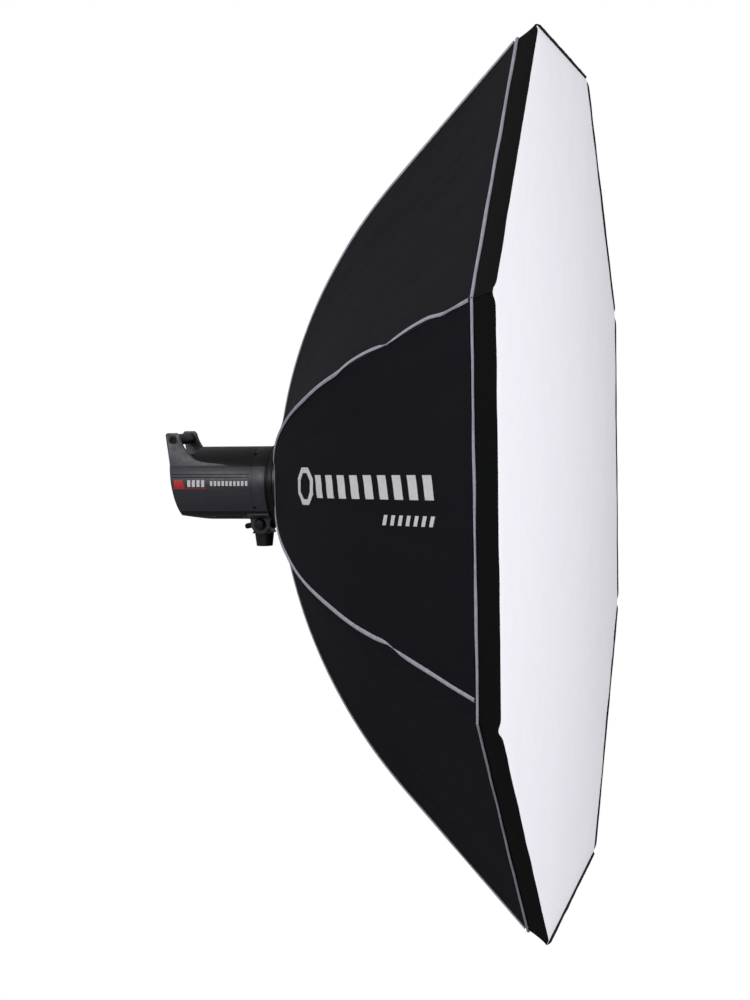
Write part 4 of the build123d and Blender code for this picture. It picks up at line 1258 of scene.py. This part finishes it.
def end_tree(tree: bpy.types.NodeTree, output: str, lights: bpy.types.Node,
             shows: bpy.types.Node) -> None:
    """Ends a node tree so that the camera sees one shader and all other rays meet another.

    Args:
        tree: the node tree.
        output: the output node's type name.
        lights: the shader that other rays meet.
        shows: the shader that the camera sees.
    """
    seen = add_node(tree, "ShaderNodeLightPath").outputs["Is Camera Ray"]
    mixed = add_node(tree, "ShaderNodeMixShader", None, {
        0: seen, 1: lights.outputs[0], 2: shows.outputs[0]})
    add_node(tree, output, None, {"Surface": mixed.outputs[0]})


@dataclass(frozen=True)
class Lamp:
    """One soft light: where it stands, how large it is and how bright."""

    name: str
    place: tuple[float, float, float]
    size: float
    watts: float


@dataclass(frozen=True)
class Studio:
    """Camera, soft lights, white surroundings and a floor that shows white."""

    distance: float = 3.78
    bearing: float = math.radians(13.58)    # the camera looks along +X, turned towards +Y by this
    dip: float = math.radians(3.99)         # and down by this
    roll: float = math.radians(1.0)         # the object's front points up by this in the view
    lens: float = 69.2
    aim_rise: float = 0.091
    aim_y: float = -0.228
    floor_z: float = -1.45
    lamps: tuple[Lamp, ...] = (
        Lamp("key", (-3.2, 0.9, 1.5), 1.6, 42.0),
        Lamp("front", (-1.6, -4.2, 0.3), 2.2, 148.0),
        Lamp("back", (1.5, 3.2, 2.4), 1.6, 7.0),
    )

    def camera(self) -> None:
        """The camera at the object's side, a little behind its middle and above it."""
        look = Vector((math.cos(self.bearing) * math.cos(self.dip),
                       math.sin(self.bearing) * math.cos(self.dip), -math.sin(self.dip)))
        data = bpy.data.cameras.new("camera")
        data.lens = self.lens
        data.sensor_width = 36.0
        camera = bpy.data.objects.new("camera", data)
        camera.location = Vector((0.0, self.aim_y, self.aim_rise)) - look * self.distance
        turn = look.to_track_quat("-Z", "Y") @ Quaternion((0, 0, 1), -self.roll)
        camera.rotation_euler = turn.to_euler()
        bpy.context.scene.collection.objects.link(camera)
        bpy.context.scene.camera = camera

    def lights(self) -> None:
        """Soft square lights, aimed at the object."""
        for lamp in self.lamps:
            data = bpy.data.lights.new(lamp.name, "AREA")
            data.size = lamp.size
            data.energy = lamp.watts
            light = bpy.data.objects.new(lamp.name, data)
            light.location = lamp.place
            aim = Vector((0.0, self.aim_y, self.aim_rise)) - light.location
            light.rotation_euler = aim.to_track_quat("-Z", "Y").to_euler()
            bpy.context.scene.collection.objects.link(light)

    def surroundings(self) -> None:
        """White surroundings that light the object more from above than from below."""
        world = bpy.data.worlds.new("studio")
        world.use_nodes = True
        tree = world.node_tree
        tree.nodes.clear()
        where = add_node(tree, "ShaderNodeTexCoord").outputs["Generated"]
        height = add_node(tree, "ShaderNodeSeparateXYZ", None, {0: where}).outputs[2]
        level = add_node(tree, "ShaderNodeMapRange", None, {
            "Value": height, "From Min": -0.5, "From Max": 0.5, "To Min": 0.12, "To Max": 0.38})
        soft = add_node(tree, "ShaderNodeBackground", None, {
            "Color": (0.97, 0.97, 1.0, 1.0), "Strength": level.outputs["Result"]})
        plain = add_node(tree, "ShaderNodeBackground", None, {
            "Color": (1.0, 1.0, 1.0, 1.0), "Strength": 1.0})
        end_tree(tree, "ShaderNodeOutputWorld", soft, plain)
        bpy.context.scene.world = world

    def floor(self) -> None:
        """A floor well below the object: white to the camera, grey to the light it throws back."""
        bm = bmesh.new()
        bmesh.ops.create_grid(bm, x_segments=1, y_segments=1, size=14.0)
        bmesh.ops.translate(bm, verts=bm.verts, vec=(0, 0, self.floor_z))
        mesh = bpy.data.meshes.new("floor")
        bm.to_mesh(mesh)
        bm.free()
        floor = bpy.data.objects.new("floor", mesh)
        bpy.context.scene.collection.objects.link(floor)
        paper = bpy.data.materials.new("stage_paper")
        paper.use_nodes = True
        tree = paper.node_tree
        tree.nodes.clear()
        lit = add_node(tree, "ShaderNodeBsdfDiffuse", None, {"Color": (0.3, 0.3, 0.3, 1.0)})
        bright = add_node(tree, "ShaderNodeEmission", None, {"Color": (1.0, 1.0, 1.0, 1.0)})
        end_tree(tree, "ShaderNodeOutputMaterial", lit, bright)
        mesh.materials.append(paper)

    def build(self) -> None:
        """Builds the studio."""
        self.camera()
        self.lights()
        self.surroundings()
        self.floor()
        bpy.context.scene.view_settings.view_transform = "Standard"


def main() -> None:
    """Builds the whole scene in order."""
    logging.basicConfig(level=logging.INFO, format="%(name)s: %(message)s")
    Studio().build()
    Hardware().build()
    Octabox().build()


if __name__ == "__main__":
    main()
